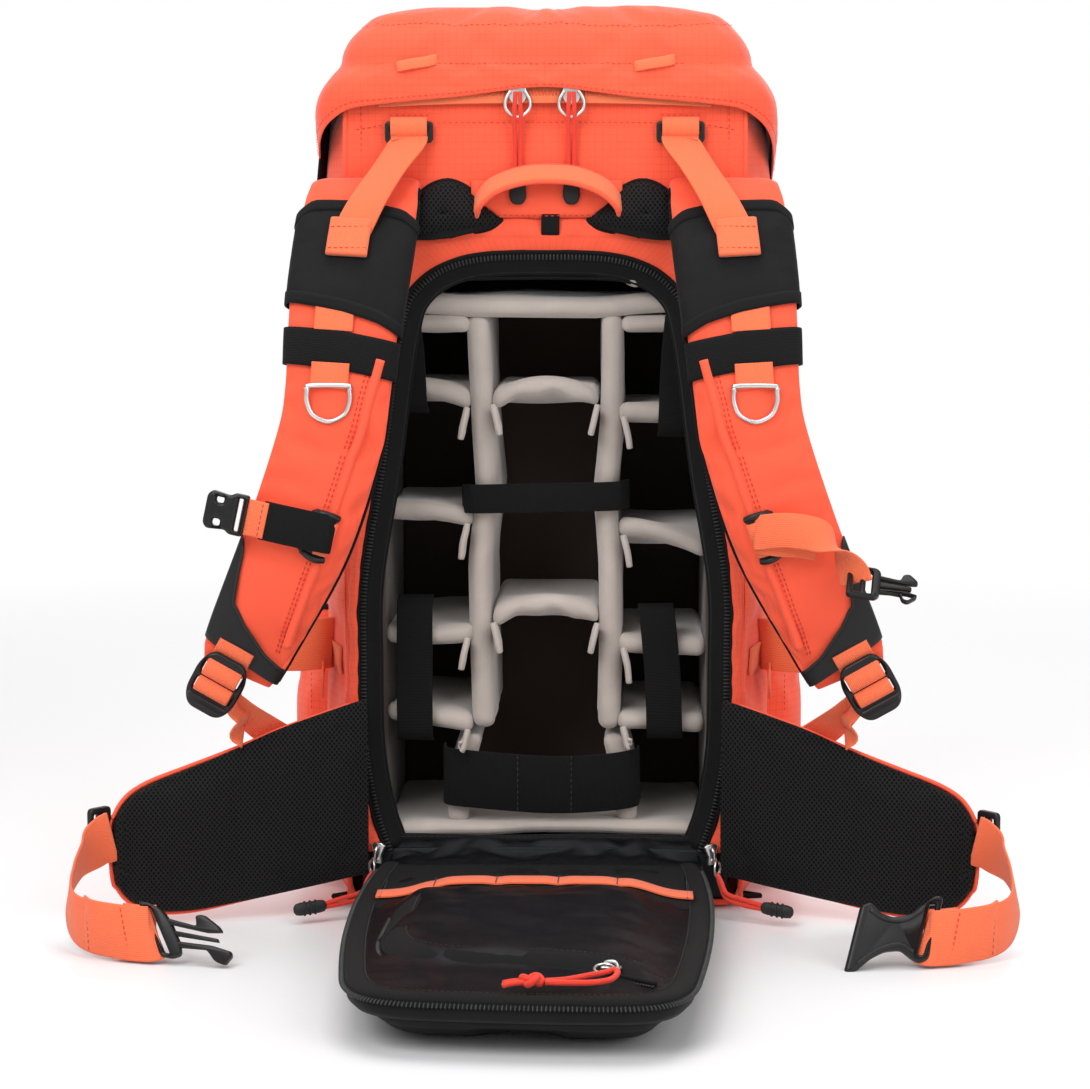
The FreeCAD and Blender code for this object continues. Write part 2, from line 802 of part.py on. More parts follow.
def pocket_slider():
    """Slider of the panel pocket's zip, with its cord and knot."""
    y = pocket_face_y
    z = 423.0
    body = block(43.0, 55.0, y + 0.5, y + 4.5, z - 5.0, z + 5.0)
    cord = rod(Vector(42.0, y + 2.4, z), Vector(-8.0, y + 2.4, z + 12.0), cord_radius)
    return [folded_down(body), folded_down(cord)]


def panel_slider():
    """Left slider of the back panel's zip, with the cord and rubber tip that hang from it."""
    body = block(-127.0, -118.0, -125.0, -116.5, 34.0, 46.0)
    bend = Vector(-130.0, -147.0, 16.0)
    end = Vector(-158.0, -161.0, 12.0)
    cord = rod(Vector(-124.5, -126.0, 35.0), bend, cord_radius).fuse(rod(bend, end, cord_radius))
    tip = rod(end, end + (end - bend).normalize() * 22.0, 3.5)
    return [body, cord.fuse(Part.makeSphere(cord_radius, bend)).fuse(tip)]


# ---------------------------------------------------------------- write every sub-part
os.makedirs("parts", exist_ok=True)

save("base_panel", base_panel())
save("front_panel", front_panel())
save("side_panels", side_panel(), mirrored(side_panel()))
save("back_surround", *back_surround())
save("upper_back_panel", block(-138.0, 138.0, back_y, back_y + fabric, yoke_z + 2.0, 590.0))
save("frame_hoop", frame_hoop())
save("opening_zip", opening_zip())
save("side_pockets", side_pocket(), mirrored(side_pocket()))
save("compression_webbing", *compression_webbing(), *[mirrored(s) for s in compression_webbing()])
save("adjuster_webbing", adjuster_webbing(), mirrored(adjuster_webbing()))
save("yoke_pads", yoke_pad(), mirrored(yoke_pad()))

save("insert_shell", *insert_shell())
save("dividers", *dividers())
save("lower_dividers", *lower_dividers())
save("side_shelves", *side_shelves())
for shelf_name, shelf_height in centre_shelf_heights.items():
    save(shelf_name, centre_shelf(shelf_height))
save("insert_elastics", *insert_elastics())

save("lid_top", lid_top())
save("lid_skirt", *lid_skirt())
save("gatekeeper_loops", *gatekeeper_loops())
save("lid_zip", lid_zip())
save_pair("lid_slider", [lid_slider()])
save_pair("lid_pull", [lid_pull()])

save("grab_handle", grab_handle())
save_pair("strap_pad", [strap_pad()])
save_pair("strap_sleeve", strap_sleeve())
save_pair("sternum_rail", [sternum_rail()])
save_pair("sternum_slider", [sternum_slider()])
save("sternum_webbing_left", sternum_webbing(sternum_lengths[0], sternum_rise))
save("sternum_webbing_right", mirrored(sternum_webbing(sternum_lengths[1], -sternum_drop)))
save("sternum_buckle_female", sternum_buckle_female())
save("sternum_buckle_male", mirrored(sternum_buckle_male()))
save_pair("d_ring", [d_ring()])
save_pair("ladder_lock", [ladder_lock()])
save_pair("lifter_webbing", [lifter_webbing()])
save_pair("lower_ladder", [lower_ladder()])

save_pair("hip_wing", [hip_wing()])
save_pair("hip_strap", hip_strap())
save("hip_buckle_male", hip_buckle_male())
save("hip_buckle_female", hip_buckle_female())

save("panel_board", panel_board())
save("panel_pocket", *panel_pocket())
save("back_pad", back_pad())
save("pocket_slider", *pocket_slider())
save_pair("panel_slider", panel_slider())
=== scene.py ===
import math

import bmesh
import bpy
import numpy as np
from mathutils.bvhtree import BVHTree
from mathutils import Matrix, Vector


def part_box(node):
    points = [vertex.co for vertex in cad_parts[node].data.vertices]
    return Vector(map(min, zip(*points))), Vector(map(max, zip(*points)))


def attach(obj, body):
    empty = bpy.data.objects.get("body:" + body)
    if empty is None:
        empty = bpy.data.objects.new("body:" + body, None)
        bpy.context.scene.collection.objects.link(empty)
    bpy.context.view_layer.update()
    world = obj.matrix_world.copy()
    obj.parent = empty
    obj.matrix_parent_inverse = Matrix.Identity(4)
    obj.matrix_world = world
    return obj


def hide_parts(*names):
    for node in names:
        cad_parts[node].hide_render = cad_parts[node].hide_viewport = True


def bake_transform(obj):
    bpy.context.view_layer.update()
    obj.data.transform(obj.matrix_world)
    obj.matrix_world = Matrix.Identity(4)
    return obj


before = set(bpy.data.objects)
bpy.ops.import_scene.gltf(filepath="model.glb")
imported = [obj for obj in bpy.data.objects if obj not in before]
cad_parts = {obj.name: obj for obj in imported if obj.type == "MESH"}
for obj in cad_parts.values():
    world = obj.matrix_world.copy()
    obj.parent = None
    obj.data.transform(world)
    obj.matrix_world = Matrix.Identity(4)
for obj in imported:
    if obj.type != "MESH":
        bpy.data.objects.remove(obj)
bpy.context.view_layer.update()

# The camera backpack's looks. Sizes are millimetres in the frame's axes and become metres when a
# mesh is made. -Y is the harness side, which faces the camera. "left" is -X.
MM = 0.001
rng = np.random.default_rng(7)

# ---------------------------------------------------------------- places taken from the frame
def box_mm(node):
    """Low and high corner of a CAD node, in millimetres."""
    low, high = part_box(node)
    return np.array(low) / MM, np.array(high) / MM


back_y = box_mm("back_surround")[0][1]
body_top = box_mm("side_panels")[1][2]
body_front_y = box_mm("front_panel")[1][1]
lid_low, lid_high = box_mm("lid_top")
insert_low, insert_high = box_mm("insert_shell")
panel_low, panel_high = box_mm("panel_board")
pad_low, pad_high = box_mm("back_pad")
hinge_z = 44.0
hinge_y = -100.0


# ---------------------------------------------------------------- mesh helpers
def make_mesh(name, verts, faces, uvs=None, smooth=True):
    """A mesh object from millimetre points; uvs holds one (u, v) in metres per face corner."""
    mesh = bpy.data.meshes.new(name)
    mesh.from_pydata((np.asarray(verts, float) * MM).tolist(), [], faces)
    if uvs is not None:
        layer = mesh.uv_layers.new(name="metres")
        layer.data.foreach_set("uv", np.asarray(uvs, np.float32).ravel())
    mesh.polygons.foreach_set("use_smooth", [smooth] * len(mesh.polygons))
    mesh.update()
    obj = bpy.data.objects.new(name, mesh)
    bpy.context.scene.collection.objects.link(obj)
    return obj


def axis_samples(half, radius, cells):
    """Points along one axis of a soft block, closer together in its rounded ends."""
    inner = half - radius
    edge = [radius * 0.45, radius * 0.8]
    middle = list(np.linspace(-inner, inner, cells + 1))
    return [-half] + [-inner - e for e in reversed(edge)] + middle + [inner + e for e in edge] + [half]


def soft_block(name, size, cells, radius, warp=None, puff=0.0, centre=(0, 0, 0)):
    """A rounded block whose faces swell by puff; warp moves its points (an (n, 3) array)."""
    half = np.array(size, float) / 2
    radius = min(radius, *(half * 0.98))
    axes = [axis_samples(h, radius, c) for h, c in zip(half, cells)]
    counts = [len(a) for a in axes]
    index, points, faces, uvs = {}, [], [], []

    def vertex(key):
        if key not in index:
            index[key] = len(points)
            points.append([axes[i][key[i]] for i in range(3)])
        return index[key]

    for axis in range(3):
        a, b = (axis + 1) % 3, (axis + 2) % 3
        for end in (0, counts[axis] - 1):
            for i in range(counts[a] - 1):
                for j in range(counts[b] - 1):
                    keys = []
                    for di, dj in ((0, 0), (1, 0), (1, 1), (0, 1)):
                        key = [0, 0, 0]
                        key[axis], key[a], key[b] = end, i + di, j + dj
                        keys.append(tuple(key))
                    if end == 0:
                        keys.reverse()
                    faces.append([vertex(k) for k in keys])
                    uvs += [(axes[a][k[a]] * MM, axes[b][k[b]] * MM) for k in keys]
    flat = np.array(points)
    inner = np.clip(flat, -(half - radius), half - radius)
    out = flat - inner
    length = np.linalg.norm(out, axis=1, keepdims=True)
    shaped = inner + out / np.maximum(length, 1e-9) * radius
    share = np.clip(np.abs(flat) / half, 0, 1)
    for axis in range(3):
        a, b = (axis + 1) % 3, (axis + 2) % 3
        crown = (1 - share[:, a] ** 2) * (1 - share[:, b] ** 2)
        on_face = np.abs(flat[:, axis]) > half[axis] - 1e-6
        shaped[:, axis] += np.where(on_face, np.sign(flat[:, axis]) * puff * crown, 0)
    shaped = shaped + np.array(centre, float)
    if warp is not None:
        shaped = warp(shaped)
    return make_mesh(name, shaped, faces, uvs)


def sheet(name, rows, thickness=1.2, closed=False, uv_origin=(0.0, 0.0)):
    """A cloth sheet through a grid of points (rows x columns x 3), thickened to both sides."""
    grid = np.asarray(rows, float)
    count, width = grid.shape[:2]
    across = np.cumsum(np.r_[0, np.linalg.norm(np.diff(grid.mean(0), axis=0), axis=1)])
    down = np.cumsum(np.r_[0, np.linalg.norm(np.diff(grid.mean(1), axis=0), axis=1)])
    if down[-1] < 1e-3 or closed:
        down = np.cumsum(np.r_[0, np.linalg.norm(np.diff(grid, axis=0), axis=2).mean(1)])
    faces, uvs = [], []
    columns = width if closed else width - 1
    for i in range(count - 1):
        for j in range(columns):
            k = (j + 1) % width
            faces.append([i * width + j, (i + 1) * width + j, (i + 1) * width + k, i * width + k])
            last = across[-1] + (across[1] - across[0]) if closed and k == 0 else across[k]
            for u, v in ((across[j], down[i]), (across[j], down[i + 1]), (last, down[i + 1]), (last, down[i])):
                uvs.append(((u + uv_origin[0]) * MM, (v + uv_origin[1]) * MM))
    obj = make_mesh(name, grid.reshape(-1, 3), faces, uvs)
    if thickness:
        thicken(obj, thickness)
    return obj


def thicken(obj, thickness, offset=0.0):
    """Gives a sheet its cloth thickness."""
    solid = obj.modifiers.new("cloth thickness", "SOLIDIFY")
    solid.thickness = thickness * MM
    solid.offset = offset
    solid.use_even_offset = False
    return obj


def subdivide(obj, levels=1):
    """One more level of smoothness."""
    modifier = obj.modifiers.new("smooth", "SUBSURF")
    modifier.levels = levels
    modifier.render_levels = levels
    return obj


def merge_pole(obj):
    """Joins points that lie in one place, so that rings drawn in to a point close there."""
    mesh = bmesh.new()
    mesh.from_mesh(obj.data)
    bmesh.ops.remove_doubles(mesh, verts=mesh.verts, dist=0.02 * MM)
    mesh.to_mesh(obj.data)
    mesh.free()


def curve_through(points, per_span=8, closed=False):
    """Points on a smooth Catmull-Rom curve through the given points (any number of columns)."""
    p = np.asarray(points, float)
    if closed:
        p = np.vstack([p[-1], p, p[0], p[1]])
    else:
        p = np.vstack([2 * p[0] - p[1], p, 2 * p[-1] - p[-2]])
    out = []
    for a, b, c, d in zip(p, p[1:], p[2:], p[3:]):
        for t in np.arange(per_span) / per_span:
            out.append(0.5 * (2 * b + (c - a) * t + (2 * a - 5 * b + 4 * c - d) * t**2
                              + (3 * b - a - 3 * c + d) * t**3))
    if not closed:
        out.append(p[-2])
    return np.array(out)


def tangents(points, closed=False):
    """Unit tangent at each point of a polyline."""
    if closed:
        d = np.roll(points, -1, 0) - np.roll(points, 1, 0)
    else:
        d = np.gradient(points, axis=0)
    return d / np.maximum(np.linalg.norm(d, axis=1, keepdims=True), 1e-9)


def resample(points, pitch, closed=False):
    """Evenly spaced points along a polyline."""
    p = np.vstack([points, points[0]]) if closed else np.asarray(points, float)
    length = np.r_[0, np.cumsum(np.linalg.norm(np.diff(p, axis=0), axis=1))]
    count = max(int(round(length[-1] / pitch)), 2)
    at = np.linspace(0, length[-1], count + 1)
    if closed:
        at = at[:-1]
    return np.stack([np.interp(at, length, p[:, i]) for i in range(p.shape[1])], 1)


def sweep(name, points, section, across, closed=False, caps=True):
    """Sweeps a closed 2D section (n x 2: across, out) along a path; across is a vector or one per point."""
    p = np.asarray(points, float)
    t = tangents(p, closed)
    side = np.broadcast_to(np.asarray(across, float), p.shape)
    side = side - t * (side * t).sum(1, keepdims=True)
    side = side / np.maximum(np.linalg.norm(side, axis=1, keepdims=True), 1e-9)
    out = np.cross(t, side)
    section = np.asarray(section, float)
    n = section.shape[-2]
    if section.ndim == 2:
        section = np.broadcast_to(section, (len(p), n, 2))
    verts = p[:, None] + side[:, None] * section[..., :1] + out[:, None] * section[..., 1:]
    length = np.r_[0, np.cumsum(np.linalg.norm(np.diff(p, axis=0), axis=1))]
    round_ = np.r_[0, np.cumsum(np.linalg.norm(np.roll(section[0], -1, 0) - section[0], axis=1))]
    faces, uvs = [], []
    rings = len(p) if closed else len(p) - 1
    for i in range(rings):
        k = (i + 1) % len(p)
        v0, v1 = length[i], length[k] if k else length[-1] + length[1]
        for j in range(n):
            m = (j + 1) % n
            faces.append([i * n + j, i * n + m, k * n + m, k * n + j])
            for u, v in ((round_[j], v0), (round_[j + 1], v0), (round_[j + 1], v1), (round_[j], v1)):
                uvs.append((u * MM, v * MM))
    if caps and not closed:
        last = (len(p) - 1) * n
        for ring, flip in ((0, True), (last, False)):
            face = list(range(ring, ring + n))
            faces.append(face[::-1] if flip else face)
            uvs += [(0, 0)] * n
    return make_mesh(name, verts.reshape(-1, 3), faces, uvs)


def circle_section(radius, sides=10):
    a = np.linspace(0, 2 * math.pi, sides, endpoint=False)
    return np.stack([radius * np.cos(a), radius * np.sin(a)], 1)


def band_section(width, thickness):
    """Section of a flat band with soft edges."""
    w, t = width / 2, thickness / 2
    return np.array([(-w, -t * 0.5), (-w + t, -t), (0, -t), (w - t, -t), (w, -t * 0.5),
                     (w, t * 0.5), (w - t, t), (0, t), (-w + t, t), (-w, t * 0.5)])


def cord(name, points, radius=1.6, smooth=6, closed=False):
    """A round cord through points."""
    path = curve_through(points, smooth, closed)
    t = tangents(path, closed)
    guide = np.array([0.31, 0.17, 0.93]) if abs(t[0][2]) < 0.8 else np.array([0.93, 0.31, 0.17])
    return sweep(name, path, circle_section(radius), guide, closed)


def webbing(name, points, width, across, thickness=1.6, smooth=6):
    """A flat woven strap through points; across is its width direction."""
    path = curve_through(points, smooth)
    side = np.asarray(across, float)
    if side.ndim == 2:
        side = curve_through(side, smooth)
    return sweep(name, path, band_section(width, thickness), side)


def scatter(name, points, t, out, piece, pitch_scale=1.0):
    """Copies of a small convex piece (verts, faces in its own axes) on path points, in one mesh."""
    verts, faces = piece
    verts = np.asarray(verts, float)
    side = np.cross(out, t)
    side /= np.maximum(np.linalg.norm(side, axis=1, keepdims=True), 1e-9)
    all_verts = (points[:, None] + t[:, None] * verts[:, :1] + side[:, None] * verts[:, 1:2]
                 + out[:, None] * verts[:, 2:3])
    n = len(verts)
    all_faces = [[i * n + v for v in f] for i in range(len(points)) for f in faces]
    return make_mesh(name, all_verts.reshape(-1, 3), all_faces)


def capsule(length, width, height):
    """A small rounded bar along its first axis, used for stitches and zip teeth."""
    l, w, h = length / 2, width / 2, height / 2
    verts = [(-l, 0, 0)]
    for x, s in ((-l * 0.72, 0.8), (l * 0.72, 0.8)):
        verts += [(x, w * s, 0), (x, 0, h * s), (x, -w * s, 0), (x, 0, -h * s)]
    verts += [(l, 0, 0)]
    faces = []
    for j in range(4):
        k = (j + 1) % 4
        faces += [[0, 1 + k, 1 + j], [1 + j, 1 + k, 5 + k, 5 + j], [5 + j, 5 + k, 9]]
    return verts, faces


def surface_tree(obj):
    """Search tree over a piece's surface, for laying other pieces on it."""
    return BVHTree.FromPolygons([v.co for v in obj.data.vertices], [p.vertices for p in obj.data.polygons])


def lay_on(tree, points, outward, lift, reach=30.0):
    """Moves points along their outward directions until they lie lift mm above a surface."""
    laid = []
    for point, out in zip(points, np.broadcast_to(outward, np.shape(points))):
        out = Vector(out).normalized()
        hit = tree.ray_cast(Vector(point) * MM + out * reach * MM, -out, 2 * reach * MM)[0]
        laid.append(np.array(point, float) if hit is None else np.array(hit) / MM + np.array(out) * lift)
    return np.array(laid)


def laid_strap(name, tree, path, outward, across, width, thickness=1.7, lift=2.6):
    """A strap pressed onto a surface: each of its five lines is laid on the surface, then smoothed."""
    rows = []
    for shift in np.linspace(-width / 2, width / 2, 5):
        rows.append(lay_on(tree, path + np.asarray(across) * shift, outward, lift))
    rows = np.array(rows)
    flat = rows.mean(0) + np.linspace(-1, 1, 5)[:, None, None] * np.asarray(across) * width / 2
    rows = rows * 0.75 + flat * 0.25
    for _ in range(12):
        rows[:, 1:-1] = (rows[:, :-2] + rows[:, 1:-1] * 2 + rows[:, 2:]) / 4
    return sheet(name, rows, thickness=thickness)


def stitches(name, points, out, length=2.7, gap=1.5, closed=False, thread=0.75):
    """A row of stitches along a path; out is the surface normal there."""
    path = resample(points, length + gap, closed)
    t = tangents(path, closed)
    normal = np.broadcast_to(np.asarray(out, float), path.shape)
    return scatter(name, path, t, normal, capsule(length, thread, thread * 0.8))


def zip_teeth(name, points, out, pitch=2.5, width=5.0, height=1.6, closed=False):
    """Coil teeth across a zip's path, one small rounded bar at each step."""
    path = resample(points, pitch, closed)
    t = tangents(path, closed)
    normal = np.broadcast_to(np.asarray(out, float), path.shape)
    side = np.cross(normal, t)
    return scatter(name, path, side, normal, capsule(width, pitch * 0.62, height))


def rounded_outline(points, radius=1.0, steps=4):
    """A polygon (n x 2) with each corner turned into a small arc; radius may be one per corner."""
    p = np.asarray(points, float)
    radii = np.broadcast_to(np.asarray(radius, float), len(p))
    out = []
    for i, corner in enumerate(p):
        a, b = p[i - 1] - corner, p[(i + 1) % len(p)] - corner
        la, lb = np.linalg.norm(a), np.linalg.norm(b)
        cut = min(radii[i], la * 0.49, lb * 0.49)
        start, end = corner + a / la * cut, corner + b / lb * cut
        for t in np.linspace(0, 1, steps + 1):
            out.append((1 - t) ** 2 * start + 2 * t * (1 - t) * corner + t**2 * end)
    return np.array(out)


def cut_plate(name, loops, depth, bevel=0.8, place=None):
    """A plate from a 2D outline and its holes (lists of points), with bevelled edges.
    place maps plate points (n x 3: x, y, height) into the frame."""
    curve = bpy.data.curves.new(name + "_outline", "CURVE")
    curve.dimensions = "2D"
    curve.fill_mode = "BOTH"
    curve.extrude = max(depth / 2 - bevel, 0.01) * MM
    curve.bevel_depth = bevel * MM
    curve.offset = -bevel * MM
    curve.bevel_resolution = 2
    for loop in loops:
        spline = curve.splines.new("POLY")
        spline.points.add(len(loop) - 1)
        for point, (x, y) in zip(spline.points, loop):
            point.co = (x * MM, y * MM, 0, 1)
        spline.use_cyclic_u = True
    holder = bpy.data.objects.new(name + "_curve", curve)
    bpy.context.scene.collection.objects.link(holder)
    mesh = bpy.data.meshes.new_from_object(holder.evaluated_get(bpy.context.evaluated_depsgraph_get()))
    bpy.data.objects.remove(holder)
    mesh.name = name
    work = bmesh.new()
    work.from_mesh(mesh)
    bmesh.ops.remove_doubles(work, verts=work.verts, dist=1e-6)
    bmesh.ops.recalc_face_normals(work, faces=work.faces)
    work.to_mesh(mesh)
    work.free()
    obj = bpy.data.objects.new(name, mesh)
    bpy.context.scene.collection.objects.link(obj)
    if place is not None:
        co = np.array([v.co for v in mesh.vertices]) / MM
        mesh.vertices.foreach_set("co", (place(co) * MM).ravel())
    work = bmesh.new()
    work.from_mesh(mesh)
    bmesh.ops.recalc_face_normals(work, faces=work.faces)
    work.to_mesh(mesh)
    work.free()
    mesh.polygons.foreach_set("use_smooth", [True] * len(mesh.polygons))
    shade = obj.modifiers.new("crisp", "EDGE_SPLIT")
    shade.split_angle = math.radians(40)
    obj.modifiers.remove(shade)
    mesh.update()
    return obj


def axes_place(origin, x_axis, y_axis):
    """Maps plate points into the frame: plate x and y along two axes, height along their normal."""
    x = np.asarray(x_axis, float) / np.linalg.norm(x_axis)
    y = np.asarray(y_axis, float) / np.linalg.norm(y_axis)
    normal = np.cross(x, y)
    return lambda p: np.asarray(origin, float) + p[:, :1] * x + p[:, 1:2] * y + p[:, 2:3] * normal


def points_of(obj):
    """The object's vertices in millimetres."""
    co = np.zeros(len(obj.data.vertices) * 3)
    obj.data.vertices.foreach_get("co", co)
    return co.reshape(-1, 3) / MM


def set_points(obj, points):
    obj.data.vertices.foreach_set("co", (np.asarray(points) * MM).ravel())
    obj.data.update()


def mirror_copy(obj, name):
    """The same piece on the other side, with its faces turned back outwards."""
    twin = obj.copy()
    twin.data = obj.data.copy()
    twin.name = name
    bpy.context.scene.collection.objects.link(twin)
    points = points_of(twin)
    points[:, 0] *= -1
    set_points(twin, points)
    twin.data.flip_normals()
    return twin


def place(obj, body, material, slot=None, replaces=()):
    """Gives a piece its material and its body, and hides the CAD nodes it stands for."""
    obj.data.materials.clear()
    obj.data.materials.append(material)
    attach(obj, body)
    finish_piece(replaces)
    return obj


def finish_piece(replaces):
    if replaces:
        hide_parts(*([replaces] if isinstance(replaces, str) else replaces))


def noise(points, scale, seed=0, detail=3):
    """Smooth noise in -1..1 made of a few seeded waves; scale is the wavelength in mm."""
    waves = np.random.default_rng(seed)
    total = np.zeros(len(points))
    weight = 0.0
    for octave in range(detail):
        for _ in range(5):
            direction = waves.normal(size=3)
            direction /= np.linalg.norm(direction)
            phase = waves.uniform(0, 2 * math.pi)
            k = 2 * math.pi / (scale / 1.9**octave)
            total += np.sin(points @ direction * k + phase) / 1.7**octave
        weight += 2.3 / 1.7**octave
    return total / weight


def relax_cloth(obj, pin, pressure=1.0, grow=0.03, frames=18, cap=6.0, stiffness=12.0, steps=5):
    """Lets cloth puff and buckle between its pinned seams, then keeps that shape.
    pin holds one weight per vertex; no point moves further than cap millimetres."""
    scene = bpy.context.scene
    before = points_of(obj)
    group = obj.vertex_groups.new(name="pin")
    for level in np.unique(np.round(pin, 1)):
        if level > 0:
            chosen = np.nonzero(np.round(pin, 1) == level)[0].tolist()
            group.add(chosen, float(level), "REPLACE")
    cloth = obj.modifiers.new("cloth", "CLOTH")
    settings = cloth.settings
    settings.quality = steps
    settings.mass = 0.25
    settings.tension_stiffness = stiffness
    settings.compression_stiffness = stiffness
    settings.shear_stiffness = stiffness * 0.6
    settings.bending_stiffness = 0.6
    settings.vertex_group_mass = "pin"
    settings.shrink_min = -grow
    settings.use_pressure = True
    settings.uniform_pressure_force = pressure
    settings.effector_weights.gravity = 0
    cloth.point_cache.frame_start = 1
    cloth.point_cache.frame_end = frames
    for number in range(1, frames + 1):
        scene.frame_set(number)
    evaluated = obj.evaluated_get(bpy.context.evaluated_depsgraph_get())
    co = np.zeros(len(obj.data.vertices) * 3)
    evaluated.data.vertices.foreach_get("co", co)
    after = co.reshape(-1, 3) / MM
    obj.modifiers.remove(cloth)
    obj.vertex_groups.remove(group)
    scene.frame_set(1)
    move = after - before
    move = np.nan_to_num(move)
    length = np.linalg.norm(move, axis=1, keepdims=True)
    move *= np.minimum(1.0, cap / np.maximum(length, 1e-9))
    set_points(obj, before + move)
    return obj


# ---------------------------------------------------------------- materials
def add(tree, kind, inputs=None, **settings):
    """A shader node; an input may be a value or another node's output."""
    node = tree.nodes.new("ShaderNode" + kind)
    for key, value in settings.items():
        setattr(node, key, value)
    for key, value in (inputs or {}).items():
        socket = node.inputs[key]
        if isinstance(value, bpy.types.NodeSocket):
            tree.links.new(value, socket)
        else:
            socket.default_value = value
    return node


def maths(tree, operation, a, b=0.0, c=0.0):
    return add(tree, "Math", {0: a, 1: b, 2: c}, operation=operation).outputs[0]


def new_material(name):
    material = bpy.data.materials.new(name)
    material.use_nodes = True
    tree = material.node_tree
    for node in list(tree.nodes):
        if node.type != "OUTPUT_MATERIAL":
            tree.nodes.remove(node)
    output = tree.nodes[0]
    shader = add(tree, "BsdfPrincipled")
    tree.links.new(shader.outputs[0], output.inputs["Surface"])
    return material, tree, shader


def metres(tree):
    """The piece's own (u, v) in metres, as two values."""
    uv = add(tree, "UVMap", uv_map="metres")
    split = add(tree, "SeparateXYZ", {0: uv.outputs[0]})
    return uv.outputs[0], split.outputs[0], split.outputs[1]


def wave(tree, value, pitch_mm, phase=0.0):
    """A sine of the given pitch, from 0 to 1."""
    turn = maths(tree, "MULTIPLY_ADD", value, 2 * math.pi / (pitch_mm * MM), phase)
    return maths(tree, "MULTIPLY_ADD", maths(tree, "SINE", turn), 0.5, 0.5)


def ridge(tree, value, pitch_mm, width):
    """1 on thin lines a pitch apart, else 0; width is a share of the pitch."""
    near = maths(tree, "PINGPONG", value, pitch_mm * MM / 2)
    return maths(tree, "LESS_THAN", near, pitch_mm * MM / 2 * width)


def mix_colour(tree, factor, low, high):
    mix = add(tree, "Mix", {0: factor, 6: low, 7: high}, data_type="RGBA")
    return mix.outputs[2]


def rgba(colour, scale=1.0):
    return (*[min(c * scale, 1.0) for c in colour], 1.0)


def colour_variation(tree, colour, amount=0.12, scale=6.0, spread=0.06):
    """The base colour, drifting slowly over the piece, with a finer mottle."""
    place_ = add(tree, "TexCoord").outputs["Object"]
    broad = add(tree, "TexNoise", {"Vector": place_, "Scale": scale, "Detail": 3.0}).outputs[0]
    fine = add(tree, "TexNoise", {"Vector": place_, "Scale": scale * 60, "Detail": 2.0}).outputs[0]
    both = maths(tree, "ADD", maths(tree, "MULTIPLY", broad, 1 - spread), maths(tree, "MULTIPLY", fine, spread))
    return mix_colour(tree, both, rgba(colour, 1 - amount), rgba(colour, 1 + amount))


def bump(tree, shader, height, strength=0.3, distance_mm=0.4):
    node = add(tree, "Bump", {"Height": height, "Strength": strength, "Distance": distance_mm * MM})
    tree.links.new(node.outputs[0], shader.inputs["Normal"])
    return node


def woven(name, colour, pitch=0.7, rip=0.0, rough=0.75, sheen=0.25, strength=0.35, wrinkle=0.25, variation=0.08,
          wrinkle_scale=45.0, coat=0.0):
    """Plain weave with an optional ripstop grid and soft creases."""
    material, tree, shader = new_material(name)
    _, u, v = metres(tree)
    threads = maths(tree, "MULTIPLY", wave(tree, u, pitch), wave(tree, v, pitch, 1.3))
    colour_out = colour_variation(tree, colour, variation)
    if rip:
        grid = maths(tree, "MAXIMUM", ridge(tree, u, rip, 0.12), ridge(tree, v, rip, 0.12))
        threads = maths(tree, "ADD", threads, grid)
        colour_out = mix_colour(tree, maths(tree, "MULTIPLY", grid, 0.35), colour_out, rgba(colour, 0.72))
    place_ = add(tree, "TexCoord").outputs["Object"]
    creases = add(tree, "TexNoise", {"Vector": place_, "Scale": wrinkle_scale, "Detail": 4.0, "Roughness": 0.55}).outputs[0]
    height = maths(tree, "ADD", maths(tree, "MULTIPLY", threads, 0.25), maths(tree, "MULTIPLY", creases, wrinkle * 8))
    bump(tree, shader, height, strength, 0.8)
    tree.links.new(colour_out, shader.inputs["Base Color"])
    rough_out = maths(tree, "MULTIPLY_ADD", creases, 0.2, rough - 0.1)
    tree.links.new(rough_out, shader.inputs["Roughness"])
    shader.inputs["Sheen Weight"].default_value = sheen
    shader.inputs["Sheen Roughness"].default_value = 0.4
    shader.inputs["Specular IOR Level"].default_value = 0.18
    shader.inputs["Coat Weight"].default_value = coat
    return material


def ribbed(name, colour, rib=1.3, rough=0.7, across=False, strength=0.6, sheen=0.15, variation=0.08):
    """Webbing or elastic: ribs along its length, crossed by fine threads."""
    material, tree, shader = new_material(name)
    _, u, v = metres(tree)
    if across:
        u, v = v, u
    ribs = wave(tree, u, rib)
    picks = wave(tree, v, rib * 0.62)
    height = maths(tree, "ADD", ribs, maths(tree, "MULTIPLY", picks, 0.55))
    dark = maths(tree, "MULTIPLY", maths(tree, "SUBTRACT", 1.0, ribs), 0.5)
    base = colour_variation(tree, colour, variation)
    tree.links.new(mix_colour(tree, dark, base, rgba(colour, 0.74)), shader.inputs["Base Color"])
    bump(tree, shader, height, strength, 0.35)
    shader.inputs["Roughness"].default_value = rough
    shader.inputs["Sheen Weight"].default_value = sheen
    shader.inputs["Specular IOR Level"].default_value = 0.16
    return material


